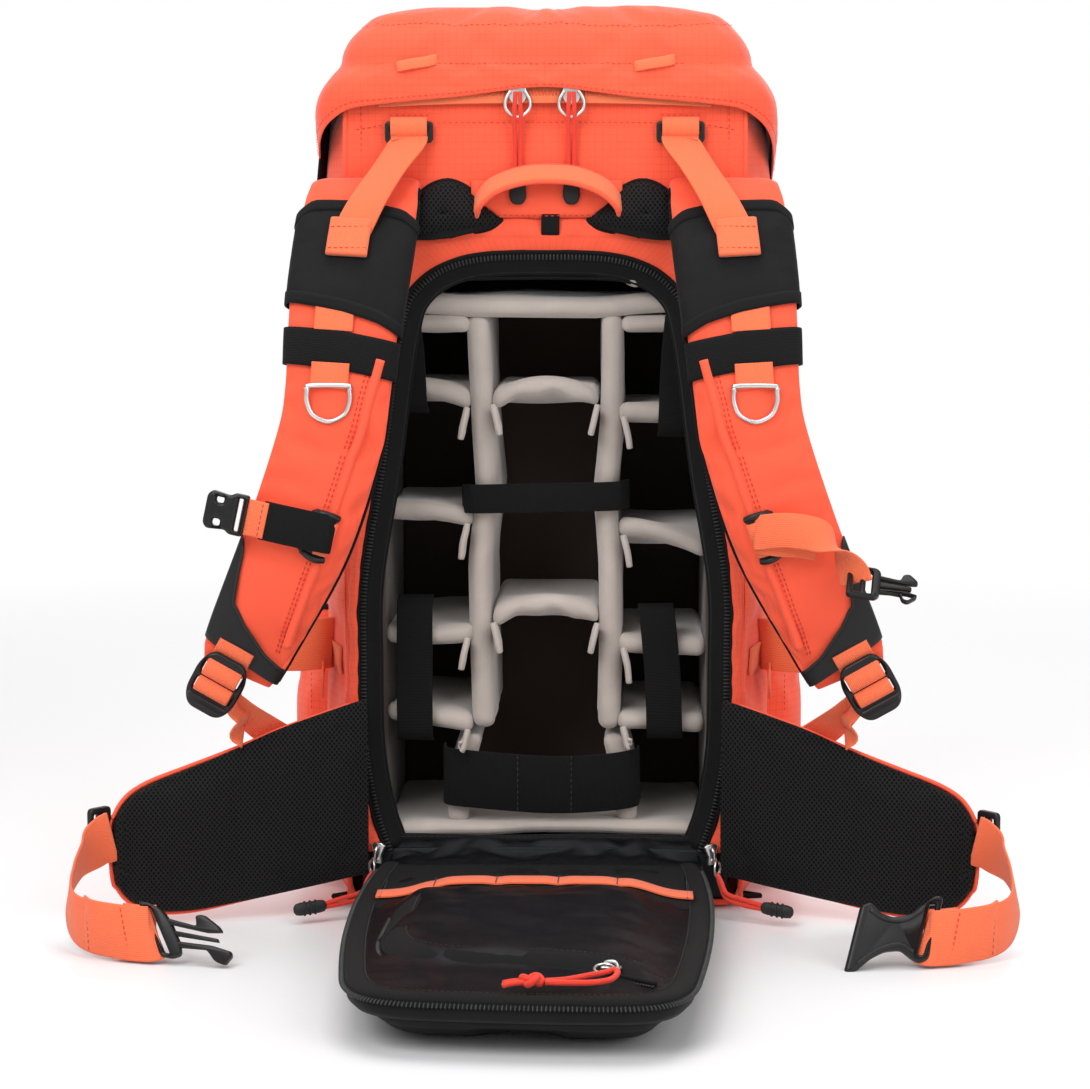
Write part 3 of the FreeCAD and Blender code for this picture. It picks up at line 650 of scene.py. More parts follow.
def spacer_mesh(name, colour, pitch=2.3):
    """Black spacer mesh: small round holes in offset rows."""
    material, tree, shader = new_material(name)
    uv, _, _ = metres(tree)
    turned = add(tree, "Mapping", {"Vector": uv, "Rotation": (0, 0, math.radians(45)), "Scale": (1.0, 0.8, 1.0)})
    cells = add(tree, "TexVoronoi", {"Vector": turned.outputs[0], "Scale": 1 / (pitch * MM), "Randomness": 0.0})
    hole = add(tree, "MapRange", {"Value": cells.outputs["Distance"], "From Min": 0.26, "From Max": 0.40}).outputs[0]
    base = colour_variation(tree, colour, 0.2)
    dark = rgba(colour, 0.03)
    tree.links.new(mix_colour(tree, hole, dark, base), shader.inputs["Base Color"])
    bump(tree, shader, hole, 0.9, 0.8)
    shader.inputs["Roughness"].default_value = 0.8
    shader.inputs["Sheen Weight"].default_value = 0.03
    shader.inputs["Specular IOR Level"].default_value = 0.12
    return material


def brushed_loop(name, colour, sheen=0.6):
    """Napped hook-and-loop fabric: short random pile with a velvet edge."""
    material, tree, shader = new_material(name)
    place_ = add(tree, "TexCoord").outputs["Object"]
    pile = add(tree, "TexNoise", {"Vector": place_, "Scale": 1400.0, "Detail": 3.0, "Roughness": 0.8}).outputs[0]
    nap = add(tree, "TexNoise", {"Vector": place_, "Scale": 38.0, "Detail": 5.0, "Distortion": 0.6}).outputs[0]
    both = maths(tree, "ADD", maths(tree, "MULTIPLY", pile, 0.35), maths(tree, "MULTIPLY", nap, 0.9))
    tree.links.new(mix_colour(tree, nap, rgba(colour, 0.82), rgba(colour, 1.14)), shader.inputs["Base Color"])
    bump(tree, shader, both, 0.35, 0.9)
    shader.inputs["Roughness"].default_value = 0.95
    shader.inputs["Sheen Weight"].default_value = sheen
    shader.inputs["Sheen Roughness"].default_value = 0.5
    shader.inputs["Specular IOR Level"].default_value = 0.1
    return material


def moulded(name, colour, rough=0.45, grain=900.0, strength=0.12, wear=0.5, metallic=0.0):
    """Moulded plastic, rubber or metal, with grain and rubbed edges."""
    material, tree, shader = new_material(name)
    place_ = add(tree, "TexCoord").outputs["Object"]
    fine = add(tree, "TexNoise", {"Vector": place_, "Scale": grain, "Detail": 3.0}).outputs[0]
    broad = add(tree, "TexNoise", {"Vector": place_, "Scale": 60.0, "Detail": 4.0}).outputs[0]
    edge = add(tree, "NewGeometry").outputs["Pointiness"]
    rubbed = add(tree, "MapRange", {"Value": edge, "From Min": 0.52, "From Max": 0.62}).outputs[0]
    rubbed = maths(tree, "MULTIPLY", rubbed, maths(tree, "MULTIPLY", broad, wear))
    base = mix_colour(tree, broad, rgba(colour, 0.85), rgba(colour, 1.15))
    worn = rgba([c + 0.06 for c in colour], 1.2)
    tree.links.new(mix_colour(tree, rubbed, base, worn), shader.inputs["Base Color"])
    tree.links.new(maths(tree, "MULTIPLY_ADD", broad, 0.2, rough - 0.1), shader.inputs["Roughness"])
    bump(tree, shader, fine, strength, 0.2)
    shader.inputs["Metallic"].default_value = metallic
    shader.inputs["Specular IOR Level"].default_value = 0.5 if metallic else 0.3
    return material


ORANGE = (0.90, 0.105, 0.050)
WEBBING = (0.93, 0.175, 0.072)
BLACK = (0.006, 0.006, 0.0065)
fabric = woven("orange ripstop", ORANGE, rip=5.2)
fabric_plain = woven("orange plain weave", ORANGE, rip=0.0, pitch=0.9, wrinkle=0.15)
skirt_lining = woven("grey coated lining", (0.16, 0.15, 0.15), rough=0.5, wrinkle=0.3)
strap_web = ribbed("orange webbing", WEBBING)
tape_web = ribbed("orange tape", (0.93, 0.20, 0.085), rib=0.9)
stitch_thread = ribbed("orange thread", (0.62, 0.05, 0.02), rib=0.5)
black_thread = ribbed("black thread", (0.03, 0.03, 0.03), rib=0.5)
mesh_black = spacer_mesh("black spacer mesh", (0.0125, 0.0125, 0.013))
stretch_black = woven("black stretch knit", BLACK, pitch=1.1, rough=0.8, sheen=0.05, wrinkle=0.3, variation=0.3)
binding_black = ribbed("black binding tape", (0.006, 0.006, 0.0065), rib=0.8, sheen=0.02)
elastic_black = ribbed("black elastic", (0.005, 0.005, 0.0055), rib=1.1, across=True, strength=0.8, sheen=0.02)
nylon_black = woven("black nylon", (0.0042, 0.0047, 0.0066), pitch=0.4, rough=0.36, sheen=0.0, wrinkle=0.5,
                    wrinkle_scale=30.0, variation=0.3)
rubber_black = moulded("black rubber", (0.010, 0.010, 0.0105), rough=0.6, strength=0.25)
pad_foam = moulded("moulded pad foam", (0.005, 0.005, 0.005), rough=0.75, grain=1500.0, strength=0.4, wear=0.2)
plastic_black = moulded("black plastic", (0.008, 0.008, 0.0085), rough=0.36)
coil_black = moulded("black zip coil", (0.012, 0.012, 0.012), rough=0.35)
coil_orange = moulded("orange zip coil", (0.72, 0.10, 0.035), rough=0.4)
steel = moulded("brushed metal", (0.66, 0.66, 0.65), rough=0.32, metallic=1.0, wear=0.1)
aluminium = moulded("aluminium rod", (0.72, 0.72, 0.74), rough=0.4, metallic=1.0, wear=0.1)
cord_red = ribbed("red braided cord", (0.87, 0.055, 0.028), rib=1.0, strength=0.7)
grey_loop = brushed_loop("grey brushed insert", (0.47, 0.41, 0.37))
brown_lining = woven("dark insert lining", (0.075, 0.056, 0.046), pitch=0.9, rough=0.8, wrinkle=0.3, variation=0.25)


# ---------------------------------------------------------------- stage, light and camera
def build_stage():
    """A pale floor, a pale sky and soft studio lights."""
    floor_mesh = bpy.data.meshes.new("floor")
    reach = 9.0
    corners = [(-reach, -reach, 0), (reach, -reach, 0), (reach, reach, 0), (-reach, reach, 0)]
    floor_mesh.from_pydata(corners, [], [(0, 1, 2, 3)])
    floor = bpy.data.objects.new("floor", floor_mesh)
    bpy.context.scene.collection.objects.link(floor)
    material, tree, shader = new_material("pale floor")
    shader.inputs["Base Color"].default_value = (0.86, 0.86, 0.87, 1)
    shader.inputs["Roughness"].default_value = 0.32
    shader.inputs["Specular IOR Level"].default_value = 0.3
    distance = add(tree, "VectorMath", {0: add(tree, "NewGeometry").outputs["Position"]}, operation="LENGTH").outputs[1]
    far = add(tree, "MapRange", {"Value": distance, "From Min": 0.75, "From Max": 2.2}).outputs[0]
    glow = add(tree, "Emission", {"Color": (1, 1, 1, 1), "Strength": 1.0})
    blend = add(tree, "MixShader", {0: far, 1: shader.outputs[0], 2: glow.outputs[0]})
    tree.links.new(blend.outputs[0], tree.nodes["Material Output"].inputs["Surface"])
    floor_mesh.materials.append(material)

    world = bpy.data.worlds.new("studio")
    world.use_nodes = True
    background = world.node_tree.nodes["Background"]
    background.inputs[0].default_value = (1.0, 1.0, 1.0, 1)
    seen = add(world.node_tree, "LightPath").outputs["Is Camera Ray"]
    world_light = maths(world.node_tree, "MULTIPLY_ADD", seen, 1 - 0.5, 0.5)
    world.node_tree.links.new(world_light, background.inputs[1])
    bpy.context.scene.world = world

    lights = (
        ("key", (-1.3, -2.4, 2.3), 1.8, 58.0), ("fill", (1.9, -2.2, 1.6), 2.0, 34.0),
        ("top", (0.0, -0.1, 2.6), 1.8, 34.0), ("rear", (0.4, 2.6, 1.8), 2.0, 24.0),
    )
    for name, place_, size, power in lights:
        lamp = bpy.data.lights.new(name, "AREA")
        lamp.size = size
        lamp.energy = power
        light = bpy.data.objects.new(name, lamp)
        light.location = place_
        light.rotation_euler = (Vector((0, -0.1, 0.3)) - Vector(place_)).to_track_quat("-Z", "Y").to_euler()
        bpy.context.scene.collection.objects.link(light)
    bpy.context.scene.view_settings.view_transform = "Standard"


def build_camera():
    """The photograph's viewpoint: a long lens, a little above and to the right."""
    azimuth, elevation = math.radians(1.4), math.radians(5.6)
    distance, target = 2.19, Vector((0.0, -0.110, 0.266))
    back = Vector((math.sin(azimuth) * math.cos(elevation), -math.cos(azimuth) * math.cos(elevation),
                   math.sin(elevation)))
    camera = bpy.data.objects.new("camera", bpy.data.cameras.new("camera"))
    camera.data.sensor_width = 36.0
    camera.data.lens = 100.5
    camera.location = target + back * distance
    camera.rotation_euler = (-back).to_track_quat("-Z", "Y").to_euler()
    bpy.context.scene.collection.objects.link(camera)
    bpy.context.scene.camera = camera


build_stage()
build_camera()


# ---------------------------------------------------------------- shared shapes
def box_uv(obj):
    """Gives every face (u, v) in metres on its own nearest plane."""
    mesh = obj.data
    layer = mesh.uv_layers.get("metres") or mesh.uv_layers.new(name="metres")
    co = points_of(obj) * MM
    corner_vertex = np.empty(len(mesh.loops), int)
    mesh.loops.foreach_get("vertex_index", corner_vertex)
    counts = np.empty(len(mesh.polygons), int)
    mesh.polygons.foreach_get("loop_total", counts)
    normals = np.empty(len(mesh.polygons) * 3)
    mesh.polygons.foreach_get("normal", normals)
    axis = np.repeat(np.abs(normals.reshape(-1, 3)).argmax(1), counts)
    corners = co[corner_vertex]
    first, second = np.array([1, 0, 0])[axis], np.array([2, 2, 1])[axis]
    rows = np.arange(len(corners))
    uv = np.stack([corners[rows, first], corners[rows, second]], 1)
    layer.data.foreach_set("uv", uv.astype(np.float32).ravel())
    return obj


def pair(obj, body, material, slot=None, replaces=()):
    """Places a left-hand piece and its mirror image; body and replaces are stems without the side."""
    stem = obj.name
    nodes = [replaces] if isinstance(replaces, str) else list(replaces)
    twin = mirror_copy(obj, stem + "_right")
    obj.name = stem + "_left"
    for piece, side in ((obj, "left"), (twin, "right")):
        own_body = body if body in ("pack", "lid", "back_panel", "handle") else f"{body}_{side}"
        place(piece, own_body, material, slot, [f"{n}_{side}" for n in nodes])
    return obj, twin


def pair_blend(obj, material, replaces=()):
    """A left-hand piece that lies between two bodies, and its mirror image; both stay fixed in the frame, tied to
    neither body.
    """
    stem = obj.name
    nodes = [replaces] if isinstance(replaces, str) else list(replaces)
    twin = mirror_copy(obj, stem + "_right")
    obj.name = stem + "_left"
    for piece, side, sign in ((obj, "left", 1), (twin, "right", -1)):
        piece.data.materials.clear()
        piece.data.materials.append(material)
        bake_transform(piece)
        finish_piece([f"{n}_{side}" for n in nodes])
    return obj, twin


def grid_between(first, last, rows, bulge=(0, 0, 0), power=1.0):
    """Rows of points from one path to another, bowed out by bulge half way."""
    first, last = np.asarray(first, float), np.asarray(last, float)
    out = []
    for s in np.linspace(0, 1, rows):
        out.append(first + (last - first) * s + np.asarray(bulge, float) * math.sin(math.pi * s) ** power)
    return np.array(out)


def line(start, end, pitch=6.0):
    return resample(np.array([start, end], float), pitch)


def edge_pin(rows, columns, corners_only=False):
    """Pin weights for a sheet's grid: 1 on its border, less just inside, 0 in the middle."""
    i, j = np.meshgrid(np.arange(rows), np.arange(columns), indexing="ij")
    away = np.minimum(np.minimum(i, rows - 1 - i), np.minimum(j, columns - 1 - j))
    return np.clip(1 - away / 2, 0, 1).ravel()


# ---------------------------------------------------------------- body shell
SIDE_PLAN = ((-141, -112), (-149, -80), (-155, -32), (-157, 14), (-151, 60), (-138, 94), (-114, 111),
             (-60, 119), (0, 123))


def body_plan(pitch=7.0):
    """The body's outline seen from above, from the rear left corner round the front to the right."""
    left = np.array(SIDE_PLAN, float)
    right = left[:-1][::-1] * (-1, 1)
    return resample(curve_through(np.vstack([left, right]), 8), pitch)


def body_rows(grow, heights):
    """The body's outline at each height, drawn in at the base and a little at the top."""
    plan = body_plan()
    rows = []
    for z in heights:
        t = z / body_top
        size = 1 + (grow + 3.0 * math.sin(math.pi * t) - 9.0 * max(0, 1 - z / 26) ** 2 - 4.0 * max(0, t - 0.9) * 10) / 150
        ring = np.column_stack([plan * size, np.full(len(plan), z)])
        rows.append(ring)
    return np.array(rows)


def body_wrap():
    """Orange fabric round the sides and front, creased between its seams."""
    heights = np.r_[2.0, 6.0, 12.0, 20.0, np.linspace(30, body_top + 4, 56)]
    rows = body_rows(0.0, heights)
    obj = sheet("body_wrap", rows, thickness=0)
    pin = np.zeros(rows.shape[:2])
    pin[:2], pin[-2:] = 1, 1
    pin[:, :1], pin[:, -1:] = 1, 1
    around = np.abs(rows[0, :, 0])
    seam = np.nonzero((np.abs(around - 122) < 4) & (rows[0, :, 1] > 60))[0]
    pin[:, seam] = 1
    for z in (182, 347, 472):
        row = int(np.abs(heights - z).argmin())
        pin[row, (rows[0, :, 1] < -40)] = 0.8
    relax_cloth(obj, pin.ravel(), pressure=1.2, grow=0.035, cap=7.0)
    points = points_of(obj)
    middle = (1 - pin.ravel())[:, None]
    crease = noise(points * (1, 1, 0.45), 60, seed=3)[:, None] * middle
    outward = points * (1, 1, 0)
    outward /= np.linalg.norm(outward, axis=1, keepdims=True)
    set_points(obj, points + outward * crease * 1.3)
    thicken(obj, 1.6)
    subdivide(obj)
    place(obj, "pack", fabric, "orange_fabric", ("side_panels", "front_panel"))
    return surface_tree(obj)


def body_lining():
    """Dark lining just inside the body, and the boards that close the compartments."""
    lining = sheet("body_lining", body_rows(-13.0, np.linspace(10, body_top, 12)), thickness=1.0)
    place(lining, "pack", nylon_black)
    for name, z, size in (("camera_bay_ceiling", 462, (268, 176, 3)), ("upper_bay_floor", 470, (268, 176, 3))):
        floor = soft_block(name, size, (12, 9, 1), 1.4, puff=2.0, centre=(0, 2, z))
        place(floor, "pack", nylon_black)


def base():
    """Flat base in heavier cloth, with a bound edge."""
    plan = body_plan(9.0) * 0.95
    bottom = np.vstack([plan, [(plan[0, 0], plan[0, 1])]])[:-1]
    rows = []
    for share, z in ((0.02, 3.0), (0.5, 2.2), (0.9, 2.0), (0.985, 2.6), (1.0, 6.0)):
        rows.append(np.column_stack([bottom * share + (0, 0), np.full(len(bottom), z)]))
    obj = sheet("base_cloth", np.array(rows)[:, ::-1], thickness=2.0, closed=True)
    box_uv(obj)
    place(obj, "pack", fabric, "orange_fabric", "base_panel")
    edge = np.column_stack([bottom, np.full(len(bottom), 6.5)])
    place(cord("base_piping", edge[::2], 2.0, 3, closed=True), "pack", binding_black)


def upper_back():
    """Upper part of the harness side, between the yoke and the lid zip, with its stitched seams."""
    across = np.linspace(-141, 141, 48)
    heights = np.linspace(492, 594, 20)
    rows = []
    for z in heights:
        t = (z - 492) / 102
        bow = 4.5 * (1 - (across / 141) ** 4) * math.sin(math.pi * min(t * 1.1, 1)) + 1.5
        seam = 1.8 * math.exp(-((z - 567) / 4.0) ** 2)
        edge = 1.4 * np.exp(-((np.abs(across) - 133) / 3.0) ** 2)
        rows.append(np.column_stack([across, back_y - bow + seam + edge, np.full(48, z)]))
    obj = sheet("upper_back_cloth", rows[::-1], thickness=0)
    points = points_of(obj)
    sway = noise(points, 55, seed=5) * (1 - (np.abs(points[:, 0]) / 141) ** 6)
    set_points(obj, points + np.outer(sway, (0, 1.1, 0)))
    thicken(obj, 1.6)
    subdivide(obj)
    place(obj, "pack", fabric, "orange_fabric", "upper_back_panel")
    y = back_y - 5.2
    seam_line = [(-133, y + 3.2, 562), (-100, y - 0.2, 566), (0, y - 0.6, 567), (100, y - 0.2, 566), (133, y + 3.2, 562)]
    place(stitches("upper_seam_stitches", curve_through(seam_line), (0, -1, 0)), "pack", stitch_thread)
    for x in (-130.5, 130.5):
        run = [(x, back_y - 3.0, z) for z in (500, 530, 560, 590)]
        place(stitches(f"side_seam_stitches_{'left' if x < 0 else 'right'}", curve_through(run), (0, -1, 0)),
              "pack", stitch_thread)


OPENING = ((112, 44), (122, 75), (129, 120), (130, 180), (129, 240), (116, 320), (103, 415), (90, 449), (56, 468),
           (0, 471.5))


def opening_path(offset, y, pitch=5.0):
    """Points round the rear opening from lower left, over the arch, to lower right; offset is outwards."""
    left = [(-x, y, z) for x, z in OPENING]
    right = [(x, y, z) for x, z in OPENING[:-1]][::-1]
    path = resample(curve_through(left + right, 6), pitch)
    outward = np.cross(tangents(path), (0.0, 1.0, 0.0))
    return path + outward * offset


def surround():
    """Orange fabric between the opening's zip and the pack's rear corners."""
    inner = opening_path(4.0, back_y - 2.4, 7.0)
    outer = inner.copy()
    for i, (x, _, z) in enumerate(inner):
        if z < 415:
            outer[i] = (math.copysign(142, x), back_y + 1, z)
        else:
            scale = min(142 / max(abs(x), 1e-6), 103 / (z - 400))
            outer[i] = (x * scale, back_y - 1, 400 + (z - 400) * scale)
    rows = grid_between(inner, outer, 9, (0, -5.5, 0), 0.7)
    obj = sheet("surround_cloth", rows, thickness=0)
    pin = edge_pin(*rows.shape[:2])
    relax_cloth(obj, pin, pressure=0.8, grow=0.02, cap=4.0)
    thicken(obj, 1.6)
    subdivide(obj)
    place(obj, "pack", fabric, "orange_fabric", "back_surround")
    for side, sign in (("left", -1), ("right", 1)):
        corner = [(sign * 142, back_y, z) for z in (8, 150, 300, 450, 590)]
        place(cord(f"rear_corner_piping_{side}", corner, 1.9, 6), "pack", fabric_plain)
    sill = soft_block("sill_cloth", (262, 3, 34), (24, 1, 4), 1.4, puff=2, centre=(0, back_y - 1, 27))
    place(sill, "pack", nylon_black)


def opening_zip_line():
    """The rear opening's zip: its tape, its coil, and the black band inside it."""
    y = back_y - 3.4
    tape = sheet("opening_tape", grid_between(opening_path(7.5, y + 0.6), opening_path(-2.0, y + 0.2), 4), thickness=1.2)
    place(tape, "pack", binding_black, "zip_coil", "opening_zip")
    teeth = zip_teeth("opening_teeth", opening_path(0.5, y - 0.9), (0, -1, 0), pitch=2.6, width=4.6, height=2.2)
    place(teeth, "pack", coil_black)
    ridge_cord = cord("opening_cord", opening_path(4.2, y - 0.2, 9.0), 1.5, 2)
    place(ridge_cord, "pack", binding_black)
    band = sheet("opening_band", grid_between(opening_path(-1.0, y + 0.6), opening_path(-11.0, back_y + 10.0), 6, (0, -2, 0)),
                 thickness=1.5)
    place(band, "pack", stretch_black)
    inner = cord("opening_band_edge", opening_path(-11.0, back_y + 10.0, 8.0), 1.6, 2)
    place(inner, "pack", binding_black)


body_surface = body_wrap()
body_lining()
base()
upper_back()
surround()
opening_zip_line()


# ---------------------------------------------------------------- divider insert
def foam_wall(name, low, high, cells, body, wobble=2.0, seed=0, material=None, replaces=(), radius=6.0, shape=None,
              slot="grey_brushed"):
    """A padded board covered in brushed cloth, gently uneven."""
    low, high = np.array(low, float), np.array(high, float)

    def warp(points):
        moved = points + np.stack([noise(points, 95, seed + k, 2) for k in range(3)], 1) * wobble
        return shape(moved) if shape else moved

    obj = soft_block(name, high - low, cells, radius, warp=warp, puff=1.2, centre=(low + high) / 2)
    place(obj, body, material or grey_loop, slot, replaces)
    return obj


def insert_walls():
    """The insert's side and rear walls (dark inside), its floor and its padded top."""
    x, y0, y1 = insert_high[0], insert_low[1], insert_high[1]
    z0, z1 = insert_low[2], insert_high[2]
    foam_wall("insert_side_left", (-x, y0, z0), (-x + 8, y1, z1), (1, 9, 16), "pack", 1.0, 11, brown_lining, radius=3)
    foam_wall("insert_side_right", (x - 8, y0, z0), (x, y1, z1), (1, 9, 16), "pack", 1.0, 12, brown_lining, radius=3)
    foam_wall("insert_rear", (-x + 8, y1 - 8, z0), (x - 8, y1, z1), (12, 1, 16), "pack", 1.0, 13, brown_lining,
              replaces="insert_shell", radius=3)

    def floor_lip(p):
        p = p.copy()
        front = np.clip((-60 - p[:, 1]) / 30, 0, 1)
        p[:, 2] += front * 3.0 * (1 - (p[:, 0] / 116) ** 2) + 1.5
        return p

    foam_wall("insert_floor", (-116, y0 - 6, z0 - 2), (116, y1 - 8, z0 + 9), (16, 10, 1), "pack", 1.2, 14, shape=floor_lip)

    def top_sag(p):
        p = p.copy()
        p[:, 2] -= 2.0 * np.cos(p[:, 0] / 36.0) * (p[:, 1] < -60)
        return p

    foam_wall("insert_top", (-99, y0, z1 - 12), (104, y1 - 8, z1 + 3), (18, 10, 1), "pack", 1.2, 15, radius=6.5,
              shape=top_sag)
    for name, x0, x1 in (("top_shelf_left", -101, -54), ("top_shelf_right", 54, 101)):
        foam_wall(name, (x0, y0 + 1, z1 - 24), (x1, y1 - 10, z1 - 12), (5, 8, 1), "pack", 1.0, 16)
    roll = [(-103, y0 + 4, 459), (-60, y0 + 8, 461), (0, y0 + 10, 462), (50, y0 + 8, 461), (66, y0 + 2, 458)]
    place(webbing("insert_top_fold", roll, 26, (0.0, 0.92, 0.38), 5.0), "pack", nylon_black)
    flap = [(50, y0 + 6, 466), (57, y0 - 2, 458), (66, y0 - 5, 454), (76, y0 - 1, 460), (84, y0 + 8, 466)]
    place(webbing("insert_top_tab", flap, 15, (0.1, -0.95, 0.3), 4.0), "pack", grey_loop)


def lean(points, offsets):
    """Sideways shift of a divider with height, from (z, shift) pairs."""
    z, shift = np.array(offsets, float).T
    moved = points.copy()
    moved[:, 0] += np.interp(points[:, 2], z, shift)
    return moved


def divider_walls():
    """The two upright dividers, and the short ones on the floor."""
    low, high = box_mm("dividers")
    y0, y1 = low[1], high[1]
    left = ((131, 1), (180, -1), (250, -2), (300, 3), (350, 0), (429, -3))
    right = ((131, 0), (180, 1), (250, 1), (300, -2), (350, 2), (429, 2))
    foam_wall("divider_left", (-54, y0, 129), (-38, y1, 431), (2, 10, 26), "pack", 0.8, 21, radius=7.2,
              shape=lambda p: lean(p, left), replaces="dividers")
    foam_wall("divider_right", (38, y0, 129), (54, y1, 431), (2, 10, 26), "pack", 0.8, 22, radius=7.2,
              shape=lambda p: lean(p, right))
    foam_wall("floor_divider_left", (-70, y0, 60), (-55, y1, 124), (2, 9, 6), "pack", 1.2, 23,
              shape=lambda p: lean(p, ((60, -2), (90, -3), (124, 8))), replaces="lower_dividers")
    foam_wall("floor_divider_right", (48, y0, 60), (63, y1, 124), (2, 9, 6), "pack", 1.2, 24,
              shape=lambda p: lean(p, ((60, 4), (90, 2), (124, -6))))


def tab(name, x, z, turn, y=-95, body="pack", length=20.0):
    """A folded hook-and-loop tab under a shelf's end; turn is the side it swings out to."""
    start = np.array([x, y + 1, z])
    path = [start, start + (turn * 1.2, -1.5, -5), start + (turn * 2.6, -2, -11), start + (turn * 3.6, -1, -0.8 * length)]
    obj = webbing(name, path, 26, (0.0, 1.0, 0.0), 4.4, 4)
    place(obj, body, grey_loop)


def shelf_shape(z, slope, droop):
    """Shelf surface: a slope across, and a front edge that droops or rises."""
    def shape(p):
        p = p.copy()
        near = np.clip((-50 - p[:, 1]) / 42, 0, 1)
        middle = p[:, 0].mean()
        reach = np.abs(p[:, 0] - middle).max()
        across = (p[:, 0] - middle) / reach
        p[:, 2] += slope * across * near + droop * (1 - across**2) * near
        return p
    return shape


def side_shelf_row():
    """The side shelves, each with its own sag, and the tabs that hold them."""
    low, high = box_mm("side_shelves")
    y0, y1 = low[1] - 1, high[1]
    left = ((374, -7, 4), (286, -3, 3), (199, 1, -1), (137, -4, 1))
    right = ((358, -3, 3), (269, -10, 4), (191, -2, 0), (134, -1, 1))
    for k, (z, slope, droop) in enumerate(left):
        foam_wall(f"shelf_left_{k + 1}", (-116, y0, z - 7), (-53, y1, z + 7), (7, 10, 1), "pack", 1.1, 30 + k,
                  shape=shelf_shape(z, slope, droop), replaces="side_shelves" if k == 0 else ())
        tab(f"shelf_tab_left_{k + 1}", -57, z - 6 + slope, -1, length=(22, 26, 22, 10)[k])
    for k, (z, slope, droop) in enumerate(right):
        foam_wall(f"shelf_right_{k + 1}", (53, y0, z - 7), (116, y1, z + 7), (7, 10, 1), "pack", 1.1, 40 + k,
                  shape=shelf_shape(z, slope, droop))
        tab(f"shelf_tab_right_{k + 1}", 57, z - 5 - slope * 0.5, 1, length=(22, 22, 26, 10)[k])


def centre_shelf_arch(name, node, body, rise, seed):
    """A centre shelf whose front edge arches up between the dividers, with its two tabs."""
    low, high = box_mm(node)
    z = (low[2] + high[2]) / 2

    def arch(p):
        p = p.copy()
        near = np.clip((-45 - p[:, 1]) / 47, 0, 1)
        across = p[:, 0] / 38
        p[:, 2] += near * (rise * (1 - across**2) - 3.0) + 1.4 * near * np.sin(p[:, 0] / 4.2) * (p[:, 2] < z)
        return p

    foam_wall(name, (-38, low[1] - 2, low[2]), (38, high[1], high[2] + 2), (12, 10, 1), body, 0.6, seed, shape=arch,
              replaces=node)
    tab(name + "_tab_left", -37, z - 8, 1, body=body, length=19)
    tab(name + "_tab_right", 37, z - 8, -1, body=body, length=19)


def elastic_bands():
    """Ribbed elastics across the bays; the widest is stitched into three pockets."""
    y = -98.0
    upright = (("a", -95, 221, 124, 0, 26), ("b", 85, 215, 126, 5, 26), ("c", 96, 447, 347, -6, 26), ("d", -98, 440, 364, 6, 22))
    for name, x, top, bottom, shift, width in upright:
        path = [(x - shift, y + 22, top + 4), (x - shift * 0.7, y + 1, top - 6), (x, y - 1.5, (top + bottom) / 2),
                (x + shift * 0.3, y - 1.2, bottom + 4), (x + shift * 0.4, y + 14, bottom - 4)]
        place(webbing(f"elastic_upright_{name}", path, width, (1, 0, 0), 2.0, 8), "pack", elastic_black,
              "black_elastic")
    path = [(-60, y + 14, 297), (-56, y + 1, 298), (-46, y - 2.5, 298), (0, y - 2.2, 299), (46, y - 2.5, 300),
            (56, y + 1, 301), (60, y + 14, 301)]
    place(webbing("elastic_centre", path, 21, (0, 0, 1), 2.0, 8), "pack", elastic_black, "black_elastic",
          "insert_elastics")
    path = [(-74, y + 16, 97), (-71, y + 1, 95), (-50, y - 3, 93), (0, y - 6, 90), (40, y - 4, 91), (64, y, 94),
            (68, y + 14, 96)]
    place(webbing("elastic_floor", path, 42, (0, 0, 1), 2.2, 8), "pack", elastic_black, "black_elastic")
    for name, x in (("left", -20), ("right", 19)):
        run = [(x, y - 7.4, 72), (x, y - 7.6, 90), (x, y - 7.2, 110)]
        place(stitches(f"elastic_floor_stitches_{name}", run, (0, -1, 0)), "pack", black_thread)


insert_walls()
divider_walls()
side_shelf_row()
centre_shelf_arch("centre_shelf_high", "centre_shelf_upper", "shelf_upper", 11.0, 51)
centre_shelf_arch("centre_shelf_low", "centre_shelf_lower", "shelf_lower", 11.0, 52)
elastic_bands()


# ---------------------------------------------------------------- lid
LID_FOLD_Z = 608.0
LID_RINGS = ((647, 0.004), (646.8, 0.2), (646.4, 0.38), (646, 0.54), (645.2, 0.66), (644, 0.75), (642.3, 0.815),
             (639.8, 0.862), (636.2, 0.9), (630, 0.94), (623, 0.97), (615, 0.99), (LID_FOLD_Z, 1.0))


def lid_plan(pitch=5.5):
    """The lid's outline at its fold, seen from above, from the front centre round."""
    right = [(0, -119.5), (60, -119), (112, -117), (136, -107), (146, -84), (148, -30), (148, 40), (140, 86),
             (112, 108), (60, 115), (0, 117)]
    left = [(-x, y) for x, y in right[1:-1]][::-1]
    return resample(curve_through(right + left, 6, closed=True), pitch, closed=True)


def hem_height(x, y):
    """Height of the skirt's lower edge, high over the zip and low at the sides."""
    front = np.interp(abs(x), (0, 14, 30, 60, 100, 128, 148), (592, 591.5, 589, 585, 581.5, 579, 573))
    return front - np.interp(y, (-122, -112, -95, -60, -20, 40, 90, 119), (0, 3, 14, 34, 48, 46, 28, 16))


